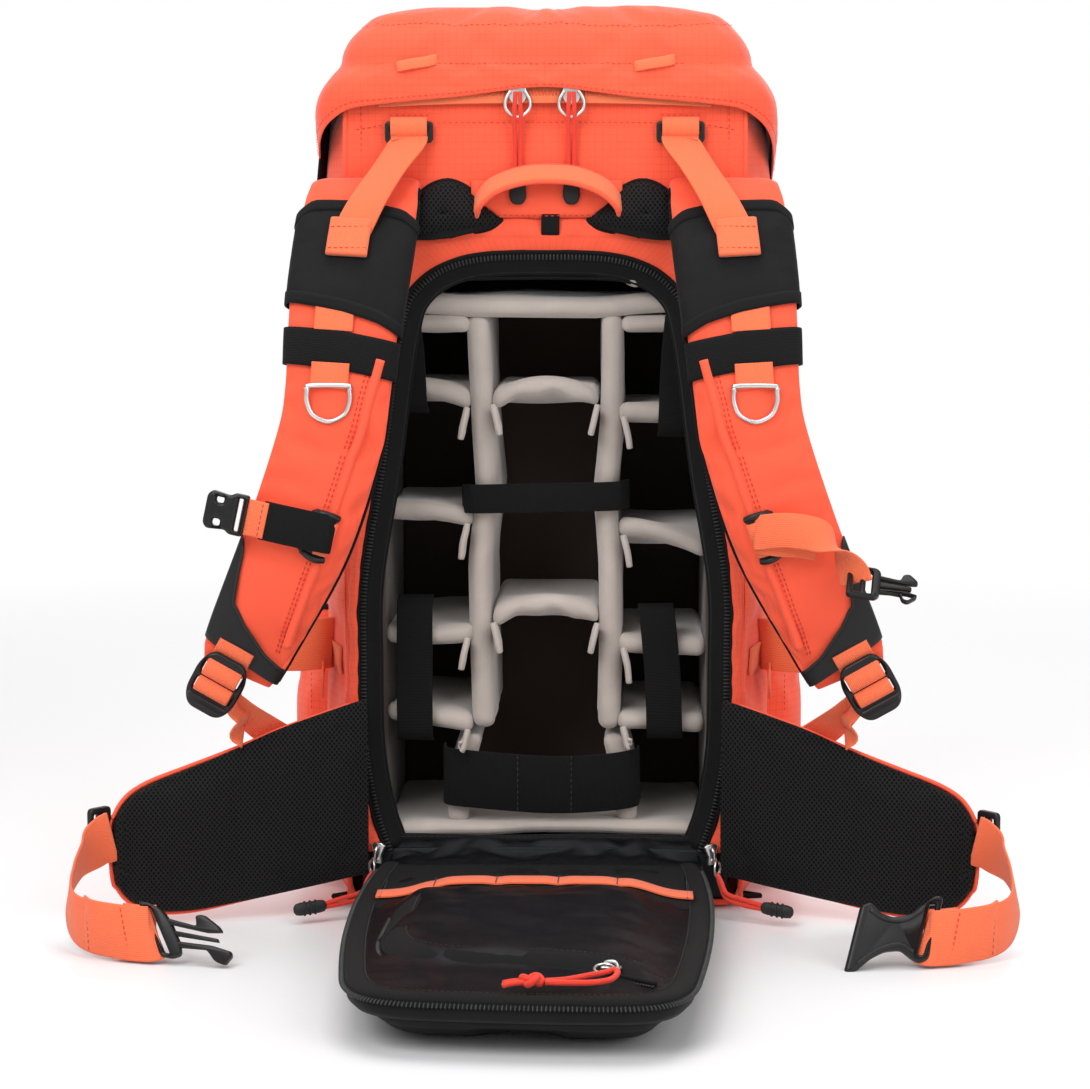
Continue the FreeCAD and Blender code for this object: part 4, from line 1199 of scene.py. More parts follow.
def lid_cover():
    """Domed lid with a skirt that hangs over the body; its underside is grey."""
    plan = lid_plan()
    rings = []
    for z, size in LID_RINGS:
        rings.append(np.column_stack([plan * size, np.full(len(plan), z)]))
    hem = np.array([hem_height(x, y) for x, y in plan])
    flare = 0.045 + 0.075 * (np.abs(plan[:, 0]) / 148) ** 4
    for s in np.linspace(0, 1, 9)[1:]:
        z = LID_FOLD_Z + (hem - LID_FOLD_Z) * s
        size = 1 + flare * math.sin(min(s * 1.7, 1) * math.pi / 2)
        rings.append(np.column_stack([plan * size[:, None], z]))
    rows = np.array(rings)
    obj = sheet("lid_cover", rows, thickness=0, closed=True)
    pin = np.zeros(rows.shape[:2])
    pin[len(LID_RINGS) - 1] = 0.9
    pin[8] = 0.6
    pin[-2:] = 1
    relax_cloth(obj, pin.ravel(), pressure=0.35, grow=0.035, cap=6.0, frames=16)
    points = points_of(obj)
    top = np.clip((points[:, 2] - 636) / 7, 0, 1)
    ridge_line = np.exp(-((points[:, 2] - 638) / 8) ** 2)
    lift = noise(points * (1.0, 0.55, 1.0), 46, seed=9) * (0.9 * top + 1.5 * ridge_line)
    points[:, 2] += lift
    front = np.clip((-60 - points[:, 1]) / 40, 0, 1) * (points[:, 2] < 640)
    points[:, 1] -= front * noise(points, 70, seed=10) * 0.9
    crown = points.reshape(rows.shape)
    middle = crown[4].mean(0)
    for i in range(4):
        share = LID_RINGS[i][1] / LID_RINGS[4][1]
        crown[i] = middle + (crown[4] - middle) * (share, share, share**3) + (0, 0, 1.0 - share**2)
    crown[0] = crown[0].mean(0)
    set_points(obj, points)
    merge_pole(obj)
    box_uv(obj)
    obj.data.materials.append(fabric)
    obj.data.materials.append(skirt_lining)
    solid = obj.modifiers.new("cloth thickness", "SOLIDIFY")
    solid.thickness = 1.8 * MM
    solid.offset = -1
    solid.use_even_offset = False
    solid.material_offset = 1
    subdivide(obj)
    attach(obj, "lid")
    finish_piece(("lid_top", "lid_skirt"))
    grid = points.reshape(rows.shape)
    out = rows[9] - rows[9].mean(0)
    out[:, 2] = 0
    out /= np.linalg.norm(out, axis=1, keepdims=True)
    for name, row, keep in (("top", 8, 20), ("hem", -2, -200), ("fold", 12, -200)):
        near = grid[row, :, 1] < keep
        order = np.argsort(np.where(near, 0, 1), kind="stable")
        start = np.nonzero(near & ~np.roll(near, 1))[0]
        ring = np.roll(grid[row], -(start[0] if len(start) else 0), 0)
        normal = np.roll(out, -(start[0] if len(start) else 0), 0)
        count = int(near.sum()) if len(start) else len(ring)
        path = np.column_stack([ring, normal])[:count]
        fine = resample(path, 4.1)
        row_obj = scatter(f"lid_{name}_stitches", fine[:, :3] + fine[:, 3:] * 0.9, tangents(fine[:, :3]), fine[:, 3:],
                          capsule(2.6, 0.7, 0.6))
        place(row_obj, "lid", stitch_thread)


def lid_inside():
    """Floor of the lid compartment and the zip that closes the top of the pack."""
    plan = lid_plan(9.0) * 0.985
    rows = [np.column_stack([plan * s, np.full(len(plan), 602.5)]) for s in (0.0, 0.3, 0.6, 0.85, 1.0)]
    floor = sheet("lid_underside", np.array(rows), thickness=0, closed=True)
    merge_pole(floor)
    thicken(floor, 1.5)
    box_uv(floor)
    place(floor, "lid", nylon_black)
    path = [(-118, -116.5, 585), (-60, -118.4, 587), (0, -119.2, 587.5), (60, -118.4, 587), (118, -116.5, 585)]
    run = curve_through(path)
    tape = webbing("lid_zip_tape", path, 15, (0, 0.25, 1), 1.4)
    place(tape, "pack", tape_web, "zip_coil", "lid_zip")
    place(zip_teeth("lid_zip_teeth", run + (0, -1.2, 0), (0, -1, 0), 2.3, 4.4, 1.8), "pack", coil_orange)


def gatekeeper(name, x):
    """Small flat loop of tape sewn on the front of the lid."""
    path = [(x - 14, -119.0, 605.5), (x - 12.5, -122.6, 606), (x - 4, -124.2, 607.5), (x + 6, -123.6, 609),
            (x + 12, -121.6, 610.5), (x + 13.6, -118.6, 610.5)]
    place(webbing(name, path, 7.5, (-0.1, 0.1, 1), 1.6), "lid", tape_web, "orange_webbing",
          "gatekeeper_loops" if x < 0 else ())


def lid_slider_set():
    """Zip slider, its silver ring, and the cord with a rubber tip, at the left of the lid zip."""
    x = -19.0
    outline = rounded_outline([(-6, -6), (6, -6), (7, 4), (3, 9), (-3, 9), (-7, 4)], 2.5)
    body = cut_plate("lid_slider_body", [outline], 4.5, 1.2, axes_place((x, -120.6, 588), (1, 0, 0), (0, 0, -1)))
    pair(body, "lid_zip", steel, "silver_metal", "lid_slider")
    ring = [(x - 5, 589), (x - 8.6, 582), (x - 7.6, 575), (x, 570.5), (x + 7.6, 575), (x + 8.6, 582), (x + 5, 589)]
    loop = cord("lid_slider_ring", [(px, -123.2, pz) for px, pz in ring], 1.35, 6)
    pair(loop, "lid_zip", steel)
    strands = []
    for side in (-1, 1):
        path = [(x + side * 1.6, -123.4, 588), (x + side * 2.2, -125.6, 574), (x + side * 2.3, -123.5, 560),
                (x + side * 2.0, -122.5, 540), (x + side * 1.6, -122, 525)]
        strands.append(cord(f"lid_cord_{'outer' if side < 0 else 'inner'}", path, 1.55, 6))
    pair(strands[0], "lid_cord", cord_red)
    pair(strands[1], "lid_cord", cord_red, "red_cord", "lid_pull")
    outline = rounded_outline([(-5.2, 9), (5.2, 9), (6.2, -4), (3.5, -9), (-3.5, -9), (-6.2, -4)], 2.5)
    tip = cut_plate("lid_cord_tip", [outline], 6.0, 1.8, axes_place((x, -122, 518), (1, 0, 0), (0, 0, 1)))
    pair(tip, "lid_cord", rubber_black)


def side_zip_pull():
    """Black webbing pull that hangs from the compartment zip on the left side."""
    path = [(-158, -66, 580), (-160.5, -66, 562), (-162.5, -66, 540), (-164.5, -66, 518), (-165, -66, 508)]
    place(webbing("side_zip_pull", path, 13, (0.35, 1, 0), 2.0), "pack", binding_black)


lid_cover()
lid_inside()
gatekeeper("gatekeeper_left", -90.0)
gatekeeper("gatekeeper_right", 78.0)
lid_slider_set()
side_zip_pull()


# ---------------------------------------------------------------- yoke
def handle():
    """Grab handle: a padded webbing arch with piped edges, and the patch it is sewn to."""
    path = [(-48, -121, 509), (-46, -127, 515), (-36, -129.5, 525), (-16, -130, 532), (4, -130, 533.5), (24, -130, 531.5),
            (42, -129.5, 524), (51, -127, 515), (53, -121, 509)]
    path = np.array(path) - (0, 0, 3.0)
    lean = np.array([0, 0.72, 0.69])
    arch = sweep("handle_band", curve_through(path, 8), band_section(16.5, 5.0), lean)
    place(arch, "handle", tape_web, "orange_webbing", "grab_handle")
    along = tangents(path)
    across = lean - along * (along @ lean)[:, None]
    across /= np.linalg.norm(across, axis=1, keepdims=True)
    for name, shift in (("front", -8.2), ("rear", 8.2)):
        place(cord(f"handle_piping_{name}", path + across * shift, 1.7, 6), "handle", fabric_plain)
    across = np.linspace(-52, 55, 22)
    rows = []
    for s in np.linspace(0, 1, 8):
        low = np.interp(across, (-52, -33, 34, 55), (514, 500, 500, 514))
        z = low + (526 - low) * s
        rows.append(np.column_stack([across, np.full(22, -118.6 - 1.4 * math.sin(math.pi * s)), z]))
    patch = sheet("handle_patch", np.array(rows)[::-1], thickness=1.6)
    place(patch, "pack", fabric_plain)
    seam = [(-50, -120.4, 513), (-33, -120.4, 501.5), (0, -120.6, 501), (34, -120.4, 501.5), (53, -120.4, 513)]
    run = np.vstack([line(a, b, 4) for a, b in zip(seam, seam[1:])])
    place(stitches("handle_patch_stitches", run, (0, -1, 0)), "pack", stitch_thread)
    tab_path = [(4, -119, 502), (4, -121, 497), (4, -121.5, 491), (4, -119.5, 488), (4, -116.5, 489)]
    place(webbing("hang_tab", tab_path, 13, (1, 0, 0), 1.8), "pack", binding_black)


HUMP = ((-96, 485), (-97, 500), (-92, 512), (-83, 521), (-70, 526), (-57, 522), (-44, 510), (-31, 497), (-50, 489),
        (-78, 484))


def yoke_hump():
    """Puffed mesh pad between the shoulder strap and the handle, bound along its edge."""
    edge = resample(curve_through([(x, z) for x, z in HUMP], 8, closed=True), 4.0, closed=True)
    centre = np.array([-72.0, 503.0])
    rows = []
    for r in (0.03, 0.25, 0.45, 0.62, 0.77, 0.89, 0.97, 1.0):
        flat = centre + (edge - centre) * r
        height = 14.0 * (1 - r**2.4) ** 0.6
        rows.append(np.column_stack([flat[:, 0], np.full(len(flat), -116.0 - height), flat[:, 1]]))
    obj = sheet("yoke_hump", np.array(rows), thickness=1.5, closed=True)
    box_uv(obj)
    pair(obj, "pack", mesh_black)
    rim = np.column_stack([edge[:, 0], np.full(len(edge), -117.5), edge[:, 1]])
    pair(cord("yoke_hump_binding", rim[::2], 2.0, 3, closed=True), "pack", binding_black)
    band = [(-97, -121, 489), (-78, -125, 489), (-55, -124, 493.5), (-38, -120, 499)]
    lower = webbing("yoke_lower_band", band, 10, (0.15, 0.35, 1), 2.4)
    twin = mirror_copy(lower, "yoke_lower_band_right")
    lower.name = "yoke_lower_band_left"
    place(lower, "pack", binding_black, "black_mesh", "yoke_pads")
    place(twin, "pack", binding_black)


handle()
yoke_hump()


# ---------------------------------------------------------------- shoulder straps
# Centre of the left strap from behind the yoke, over the shoulder and down, with its width.
STRAP = ((-121, -106, 494, 66), (-122, -111, 512, 70), (-126, -124, 519.5, 76), (-130, -141, 500, 80),
         (-135, -171, 455, 79), (-138, -186, 420, 76), (-141, -193, 380, 73), (-147, -194, 345, 73),
         (-170, -188, 277, 73), (-203, -173, 208, 63), (-216, -168, 180, 56))
STRAP_HALF = 8.0
strap_curve = curve_through(STRAP, 12)
strap_tangent = tangents(strap_curve[:, :3])
strap_across = np.array([1.0, 0, 0]) - strap_tangent * strap_tangent[:, :1]
strap_across /= np.linalg.norm(strap_across, axis=1, keepdims=True)
strap_normal = np.cross(strap_tangent, strap_across)
strap_length = np.r_[0, np.cumsum(np.linalg.norm(np.diff(strap_curve[:, :3], axis=0), axis=1))]


def strap_at(along, across, height):
    """Points on the left strap: along in mm from its start, across -1 (outer) to 1, height over the middle."""
    def pick(values):
        return np.stack([np.interp(along, strap_length, values[:, i]) for i in range(3)], -1)

    half = np.interp(along, strap_length, strap_curve[:, 3]) / 2
    side = pick(strap_across)
    return (pick(strap_curve[:, :3]) + side * (half * across)[..., None]
            + pick(strap_normal) * np.broadcast_to(height, np.shape(across))[..., None])


def along_at(z):
    """Distance along the strap at a height below the shoulder."""
    start = int(strap_curve[:, 2].argmax())
    return float(np.interp(-z, -strap_curve[start:, 2], strap_length[start:]))


def strap_section(count=40, grow=0.0, squareness=0.42):
    """Angles round the strap as (across, height) pairs, starting at the outer edge behind."""
    angle = math.pi - np.linspace(0, 2 * math.pi, count, endpoint=False)
    c, s = np.cos(angle), np.sin(angle)
    across = np.sign(c) * np.abs(c) ** squareness
    height = np.sign(s) * np.abs(s) ** 0.8 * (STRAP_HALF + grow)
    return across * (1 + grow / 38), height


def strap_tube(name, top, bottom, grow, rows=24, count=44, closed=True, wrinkle=0.0, seed=0, thickness=1.2):
    """A sleeve round the left strap; top and bottom give its ends as functions of across."""
    across, height = strap_section(count, grow)
    if not closed:
        keep = height > -0.3 * STRAP_HALF
        order = np.argsort(across[keep])
        across, height = across[keep][order], height[keep][order]
    starts, ends = top(across), bottom(across)
    grid = []
    for s in np.linspace(0, 1, rows):
        grid.append(strap_at(starts + (ends - starts) * s, across, height))
    grid = np.array(grid)
    if wrinkle:
        flat = grid.reshape(-1, 3)
        push = noise(flat * (1, 1, 1.6), 40, seed)[:, None] * wrinkle
        inner = np.sin(np.linspace(0, math.pi, rows)) ** 0.5
        normal = strap_at(np.repeat(starts[None], rows, 0).ravel(), np.tile(across, rows), 1.0) - strap_at(
            np.repeat(starts[None], rows, 0).ravel(), np.tile(across, rows), 0.0)
        grid = (flat + normal * push * np.repeat(inner, grid.shape[1])[:, None]).reshape(grid.shape)
    return sheet(name, grid, thickness=thickness, closed=closed)


def level(z):
    """A strap end at one height."""
    along = along_at(z)
    return lambda across: np.full(np.shape(across), along)


def sloping(points):
    """A strap end given as (across, z) pairs."""
    across, z = np.array(points, float).T
    along = np.array([along_at(v) for v in z])
    return lambda a: np.interp(a, across, along)


def strap_pad_piece():
    """The padded strap itself: puffed orange front with a mesh back, which bends at the yoke."""
    rows, count = 74, 44
    across, height = strap_section(count)
    height = np.where(height < -2.2, -2.2 + (height + 2.2) * 0.3, height)
    stations = np.linspace(0, strap_length[-1], rows)
    grid = []
    for s in stations:
        taper = min(1.0, (strap_length[-1] - s) / 16 + 0.25)
        grid.append(strap_at(np.full(count, s), across * (0.86 + 0.14 * taper), height * taper))
    obj = sheet("strap_front", np.array(grid), thickness=0, closed=True)
    pin = np.zeros((rows, count))
    pin[:2], pin[-2:] = 1, 1
    pin[:, height < 2.2] = 1
    relax_cloth(obj, pin.ravel(), pressure=1.5, grow=0.03, cap=3.0)
    points = points_of(obj)
    path = np.repeat(stations, count)
    covered = np.clip((path - along_at(512)) / 10, 0, 1) * np.clip((along_at(384) - path) / 12, 0, 1)
    points += (np.array(grid).reshape(-1, 3) - points) * covered[:, None]
    edge = np.tile(np.exp(-((np.abs(across) - 0.86) / 0.1) ** 2), rows) * (1 - covered)
    pucker = np.sin(path / 3.1) * edge * 0.45
    normals = strap_at(path, np.tile(across, rows), 1.0) - strap_at(path, np.tile(across, rows), 0.0)
    set_points(obj, points + normals * (pucker * np.sign(np.tile(height, rows)))[:, None])
    subdivide(obj)
    front = surface_tree(obj)
    pair_blend(obj, fabric_plain, ("strap_pad",))

    back = []
    for s in stations[2:-2]:
        a = np.linspace(-0.985, 1.03, 15)
        back.append(strap_at(np.full(15, s), a, -4.4 - 4.6 * (1 - np.abs(a / 1.035) ** 4)))
    mesh = sheet("strap_back", np.array(back)[:, ::-1], thickness=2.2)
    pair_blend(mesh, mesh_black)
    ends = np.linspace(along_at(498), strap_length[-1] - 6, 70)
    edge_path = strap_at(ends, np.full(70, 1.02), np.full(70, -2.6))
    pair(cord("strap_binding", edge_path[::3], 1.2, 4), "shoulder_strap", binding_black)
    return front


def strap_covers():
    """Stretch sleeve with bound ends, the elastic band under it and the rubbed black patch at the strap's end."""
    top = sloping(((-1.1, 494), (-0.8, 502), (0, 504), (0.8, 501), (1.1, 495)))
    bottom = sloping(((-1.1, 437), (0, 432), (0.6, 427), (1.1, 419)))
    sleeve = strap_tube("sleeve", top, bottom, 2.4, 34, wrinkle=1.3, seed=61, thickness=1.0)
    pair(sleeve, "shoulder_strap", stretch_black)
    across, height = strap_section(44, 2.9)
    for name, end, shift in (("top", top, 0), ("bottom", bottom, 0)):
        hem = [strap_at(end(across) + s, across, height) for s in (-1.0, 1.5, 4.5, 7.5)]
        if name == "bottom":
            hem = [strap_at(end(across) + s, across, height) for s in (-7.5, -4.5, -1.5, 1.0)]
        pair(sheet(f"sleeve_hem_{name}", np.array(hem), thickness=1.6, closed=True), "shoulder_strap", binding_black)
    band_top = sloping(((-1.1, 420), (0, 419), (1.1, 414)))
    band_low = sloping(((-1.1, 396), (0, 394), (1.1, 389)))
    band = strap_tube("strap_band", band_top, band_low, 2.2, 10, thickness=1.6)
    pair(band, "shoulder_strap", elastic_black, "black_stretch", "strap_sleeve")
    wedge_top = sloping(((-1.1, 268), (-0.93, 262), (-0.84, 246), (-0.74, 226), (-0.3, 214), (0.4, 201), (1.1, 194)))
    wedge_low = sloping(((-1.1, 196), (0, 190), (1.1, 184)))
    wedge = strap_tube("strap_end_patch", wedge_top, wedge_low, 0.9, 20, thickness=1.0)
    pair(wedge, "shoulder_strap", rubber_black)
    a = np.linspace(-1.0, 1.02, 40)
    height = (STRAP_HALF + 0.9) * np.clip(1 - np.abs(a) ** 8, 0, 1) ** 0.4
    edge = strap_at(wedge_top(a), a, height + 0.4)
    pair(cord("strap_patch_edge", edge[::2], 1.2, 4), "shoulder_strap", rubber_black)


def strap_details():
    """Covered rail with its stitching, the ring and its tape, and the short tapes above the band."""
    run = ((402, 0.76), (375, 0.63), (340, 0.5), (300, 0.47), (255, 0.55), (225, 0.68), (206, 0.8))
    along = np.array([along_at(z) for z, _ in run])
    across = np.array([a for _, a in run])
    fine = np.linspace(along[0], along[-1], 60)
    side = np.interp(fine, along, across)
    lift = STRAP_HALF * (1 - np.abs(side) ** 6) ** 0.5
    rail = strap_at(fine, side, lift + 1.8)
    pair(cord("rail_cover", rail[::3], 3.4, 4), "shoulder_strap", fabric_plain, "orange_fabric", "sternum_rail")
    front = strap_at(fine, side, 1.0) - strap_at(fine, side, 0.0)
    for name, shift in (("a", -0.2), ("b", -0.13)):
        path = lay_on(strap_surface, strap_at(fine, side + shift, lift + 1.3), front, 0.35, 12.0)
        both = resample(np.column_stack([path, front]), 4.0)
        row = scatter(f"rail_stitches_{name}", both[:, :3], tangents(both[:, :3]), both[:, 3:], capsule(2.7, 1.0, 1.0))
        pair(row, "shoulder_strap", stitch_thread)
    for name, z0, z1, width, h in (("upper", 437, 419, 27, 10.0), ("ring", 398, 381, 26, 11.6)):
        middle = along_at(z0), along_at(z1)
        stations = np.linspace(*middle, 6)
        path = strap_at(stations, np.full(6, -0.15), np.full(6, h))
        pair(webbing(f"strap_tape_{name}", path, width, (1, 0, 0), 2.4, 4), "shoulder_strap", strap_web)
    low, high = box_mm("d_ring_left")
    x, y, top = (low[0] + high[0]) / 2, (low[1] + high[1]) / 2, high[2] - 2.0
    ring = [(x - 13, y, top), (x - 14.6, y - 0.4, top - 3), (x - 14.6, y - 0.6, top - 11), (x - 10.5, y - 0.6, top - 20),
            (x, y - 0.6, top - 24.6), (x + 10.5, y - 0.6, top - 20), (x + 14.6, y - 0.6, top - 11), (x + 14.6, y - 0.4, top - 3),
            (x + 13, y, top)]
    pair(cord("d_ring_wire", ring, 1.75, 6, closed=True), "ring", steel, "silver_metal", "d_ring")


strap_surface = strap_pad_piece()
strap_covers()
strap_details()


# ---------------------------------------------------------------- straps' webbing and buckles
def rounded_frame(name, width, height, depth, windows, corner=4.0, bevel=1.2, place_at=None, outline=None):
    """A flat plastic frame with rectangular windows (x centre, y centre, width, height)."""
    w, h = width / 2, height / 2
    outer = outline if outline is not None else rounded_outline([(-w, -h), (w, -h), (w, h), (-w, h)], corner)
    loops = [outer]
    for x, y, a, b in windows:
        loops.append(rounded_outline([(x - a / 2, y - b / 2), (x + a / 2, y - b / 2), (x + a / 2, y + b / 2),
                                      (x - a / 2, y + b / 2)], 1.6))
    return cut_plate(name, loops, depth, bevel, place_at)


def load_lifters():
    """Ladder buckles under the lid, and the webbing from them to the sewn ends on the straps."""
    at = axes_place((-96, -121.5, 560), (1, 0, 0), (0, -0.1, 1))
    frame_obj = rounded_frame("ladder_lock_frame", 34, 15, 5.0, [(0, 2.6, 26.5, 4.4), (0, -3.4, 26.5, 3.2)], 3.0, place_at=at)
    pair(frame_obj, "lifter", plastic_black, "black_plastic", "ladder_lock")
    loop = [(-96, -116.5, 569), (-96, -122.5, 569.5), (-96, -125.2, 565.5), (-96, -124.6, 560), (-96, -121, 556.5)]
    pair(webbing("ladder_loop", loop, 26, (1, 0, 0), 1.8), "pack", strap_web)
    box = [(-109, -118.4, 572), (-83, -118.4, 572)]
    pair(stitches("ladder_loop_stitches", line(*box, 3), (0, -1, 0)), "pack", stitch_thread)
    start, end = np.array([-96.5, -125, 553]), strap_at(along_at(484), -0.02, STRAP_HALF + 4.4)
    path = [(-96, -121, 558), start, start + (end - start) * 0.33 + (0, -2, 2), start + (end - start) * 0.7 + (0, -2.5, 3), end]
    across = [(1, 0, 0), (1, -0.05, 0.02), (0.96, -0.1, 0.2), (0.97, -0.1, 0.12), (0.99, 0, 0.05)]
    band = webbing("lifter_band", path, 26, across, 1.7, 10)
    pair_blend(band, strap_web, ("lifter_webbing",))
    stations = np.linspace(along_at(490), along_at(466), 6)
    sewn = strap_at(stations, np.full(6, -0.06), np.full(6, STRAP_HALF + 6.2))
    pair(webbing("lifter_sewn_end", sewn, 29, (1, 0, 0.04), 4.2, 4), "shoulder_strap", strap_web)
    front = sewn + (0, -2.7, 0)
    for name, row in (("a", 1), ("b", 4)):
        ends = front[row] - (12, 0, 0), front[row] + (12, 0, 0)
        pair(stitches(f"lifter_end_stitches_{name}", line(*ends, 3), (0, -1, 0)), "shoulder_strap", stitch_thread)


def lower_buckles():
    """Rounded ladder buckle at the strap's end, webbing wound through it, and its run to the pack's corner."""
    side, down = np.array([0.87, 0.0, -0.49]), np.array([-0.49, 0.12, -0.86])
    n = np.cross(side, -down)
    middle = np.array([-228.0, -170.0, 175.5]) + n * 8
    at = axes_place(middle, side, -down)
    outline = rounded_outline([(-18, -14), (-12, -24), (12, -24), (18, -14), (18.5, 8), (13, 20), (-13, 20), (-18.5, 8)], 6, 6)
    frame_obj = rounded_frame("lower_buckle_frame", 37, 44, 6.0, [(0, 7.5, 28, 11), (0, -6.5, 28, 9)], outline=outline,
                              bevel=2.0, place_at=at)
    pair(frame_obj, "strap_buckle", plastic_black, "black_plastic", "lower_ladder")
    lip = axes_place(middle + down * 17 + n * 1.5, side, -down + n * 0.5)
    lip_outline = rounded_outline([(-12, -5.5), (12, -5.5), (16, 4), (-16, 4)], 2.5)
    pair(cut_plate("lower_buckle_lip", [lip_outline], 4.5, 1.4, lip), "strap_buckle", plastic_black)
    for name, shift, reach in (("upper", 7.8, 6.4), ("lower", -5.6, 5.6)):
        path = [middle - down * (shift + reach) - n * 3.0, middle - down * (shift + reach * 0.9) + n * 2.0,
                middle - down * (shift + reach * 0.3) + n * 5.4, middle - down * (shift - reach * 0.5) + n * 5.2,
                middle - down * (shift - reach * 0.95) + n * 1.8, middle - down * (shift - reach) - n * 3.0]
        pair(webbing(f"lower_buckle_wrap_{name}", path, 26.5, side, 2.2, 6), "strap_buckle", strap_web)
    lead = [middle - down * 30 + n * 0.4, middle - down * 24 - n * 0.2, middle - down * 18 - n * 3.2, middle - down * 10 - n * 3.6]
    pair(webbing("lower_buckle_lead", lead, 27, side, 2.2, 6), "shoulder_strap", strap_web)
    corner = np.array([-158.0, -86.0, 98.0])
    start = np.array([-228.0, -171.0, 169.0])
    path = [start, (-216, -160, 155), (-203, -141, 139), (-182, -112, 118), corner]
    across = [side, (0.95, 0.1, -0.25), (0.95, 0.15, 0.2), (0.8, 0.4, 0.4), (0.4, 0.7, 0.6)]
    run = webbing("adjuster_run", path, 24, across, 1.7, 10)
    pair_blend(run, strap_web)
    tail = [(-219, -171, 166), (-217.5, -166, 155), (-213.5, -162, 147), (-217.5, -158, 138), (-214, -154, 132)]
    turn = [(0.5, 0.8, -0.2), (0.3, 0.95, 0.1), (0.25, 0.95, 0.1), (0.3, 0.95, 0.1), (0.25, 0.95, 0.1)]
    pair(webbing("adjuster_tail", tail, 22, turn, 1.7, 6), "strap_buckle", strap_web)


def anchor_webbing():
    """Reinforced triangle and short webbing at each lower corner of the pack; stands for the rigid webbing."""
    left = sheet("adjuster_anchor_left", grid_between([(-153, -110, 118), (-158, -70, 112)], [(-150, -108, 66), (-157, -60, 66)], 5,
                 (-2, 0, 0)), thickness=2.4)
    right = mirror_copy(left, "adjuster_anchor_right")
    place(left, "pack", fabric_plain, "orange_webbing", "adjuster_webbing")
    place(right, "pack", fabric_plain)


def sternum_sliders():
    """Hooked bracket on the rail with a short loop of webbing."""
    low, high = box_mm("sternum_slider_left")
    middle = (low + high) / 2
    nearest = int(np.abs(strap_curve[:, 2] - middle[2]).argmin())
    n, t, across = strap_normal[nearest], strap_tangent[nearest], strap_across[nearest]
    at = axes_place(middle + n * 2, across, -t)
    outline = rounded_outline([(-9, -17), (7, -17), (9, -11), (3, -9), (3, 9), (9, 11), (7, 17), (-9, 17), (-10, 11), (-3, 8),
                               (-3, -8), (-10, -11)], 2.5)
    pair(cut_plate("sternum_bracket", [outline], 6.0, 1.5, at), "slider", plastic_black, "black_plastic", "sternum_slider")
    for name, end in (("upper", -1), ("lower", 1)):
        hook = [middle + n * 1 + t * (end * 13) - across * 9, middle + n * 5 + t * (end * 15.5) - across * 4,
                middle + n * 6 + t * (end * 16.5) + across * 3, middle + n * 3 + t * (end * 15.5) + across * 9]
        pair(cord(f"sternum_hook_{name}", hook, 2.4, 6), "slider", plastic_black)
    loop = [middle - n * 1 + across * 2, middle + across * 8 + n * 1.5, middle + across * 8.5 + n * 5.5, middle + n * 8]
    pair(webbing("sternum_loop", loop, 25, t, 2.0, 6), "slider", strap_web)
    return middle, n


def sternum_left(middle, n):
    """Elastic, webbing and socket of the sternum strap on the left."""
    base = middle + (6, -9, 1)
    tilt = np.array([-0.975, 0.03, 0.21])
    out = np.array([0.0, -1.0, 0.0])
    up = np.array([0.21, 0, 0.975])

    def run(*steps):
        return [base + tilt * along + out * lift for along, lift in steps]

    elastic = webbing("sternum_elastic", run((-4, -3), (0, 0), (10, 1.6), (24, 2.2), (38, 1.8), (46, 1.2)), 27, up, 2.6)
    place(elastic, "sternum_strap_left", elastic_black)
    front = webbing("sternum_web_left", run((43, 2.6), (50, 2.2), (57, 1.2), (60.5, -1.5), (59, -4)), 25, up, 1.9)
    place(front, "sternum_strap_left", strap_web, "orange_webbing", "sternum_webbing_left")
    rear = webbing("sternum_web_left_back", run((2, -3), (14, -1.4), (30, -1.2), (46, -1.6), (58, -2.8)), 24, up, 1.7)
    place(rear, "sternum_strap_left", strap_web)
    place(stitches("sternum_web_stitches", line(*(run((47, 3.6))[0] + up * k for k in (-10, 10)), 3), (0, -1, 0)),
          "sternum_strap_left", stitch_thread)
    at = axes_place(base + tilt * 66 + out * 0.5, tilt, up)
    outline = rounded_outline([(-9, -14.5), (1, -14.5), (4, -12), (17, -13.5), (20, -10), (20, 10), (17, 13.5), (4, 12),
                               (1, 14.5), (-9, 14.5)], 2.6)
    holes = [rounded_outline([(-5.5, -11.5), (-2, -11.5), (-2, 11.5), (-5.5, 11.5)], 1.2),
             rounded_outline([(8, -10.5), (13.5, -10.5), (13.5, -5.5), (8, -5.5)], 2.2),
             rounded_outline([(8, 5.5), (13.5, 5.5), (13.5, 10.5), (8, 10.5)], 2.2)]
    socket = cut_plate("sternum_socket", [outline, *holes], 8.0, 2.0, at)
    place(socket, "sternum_strap_left", plastic_black, "black_plastic", "sternum_buckle_female")


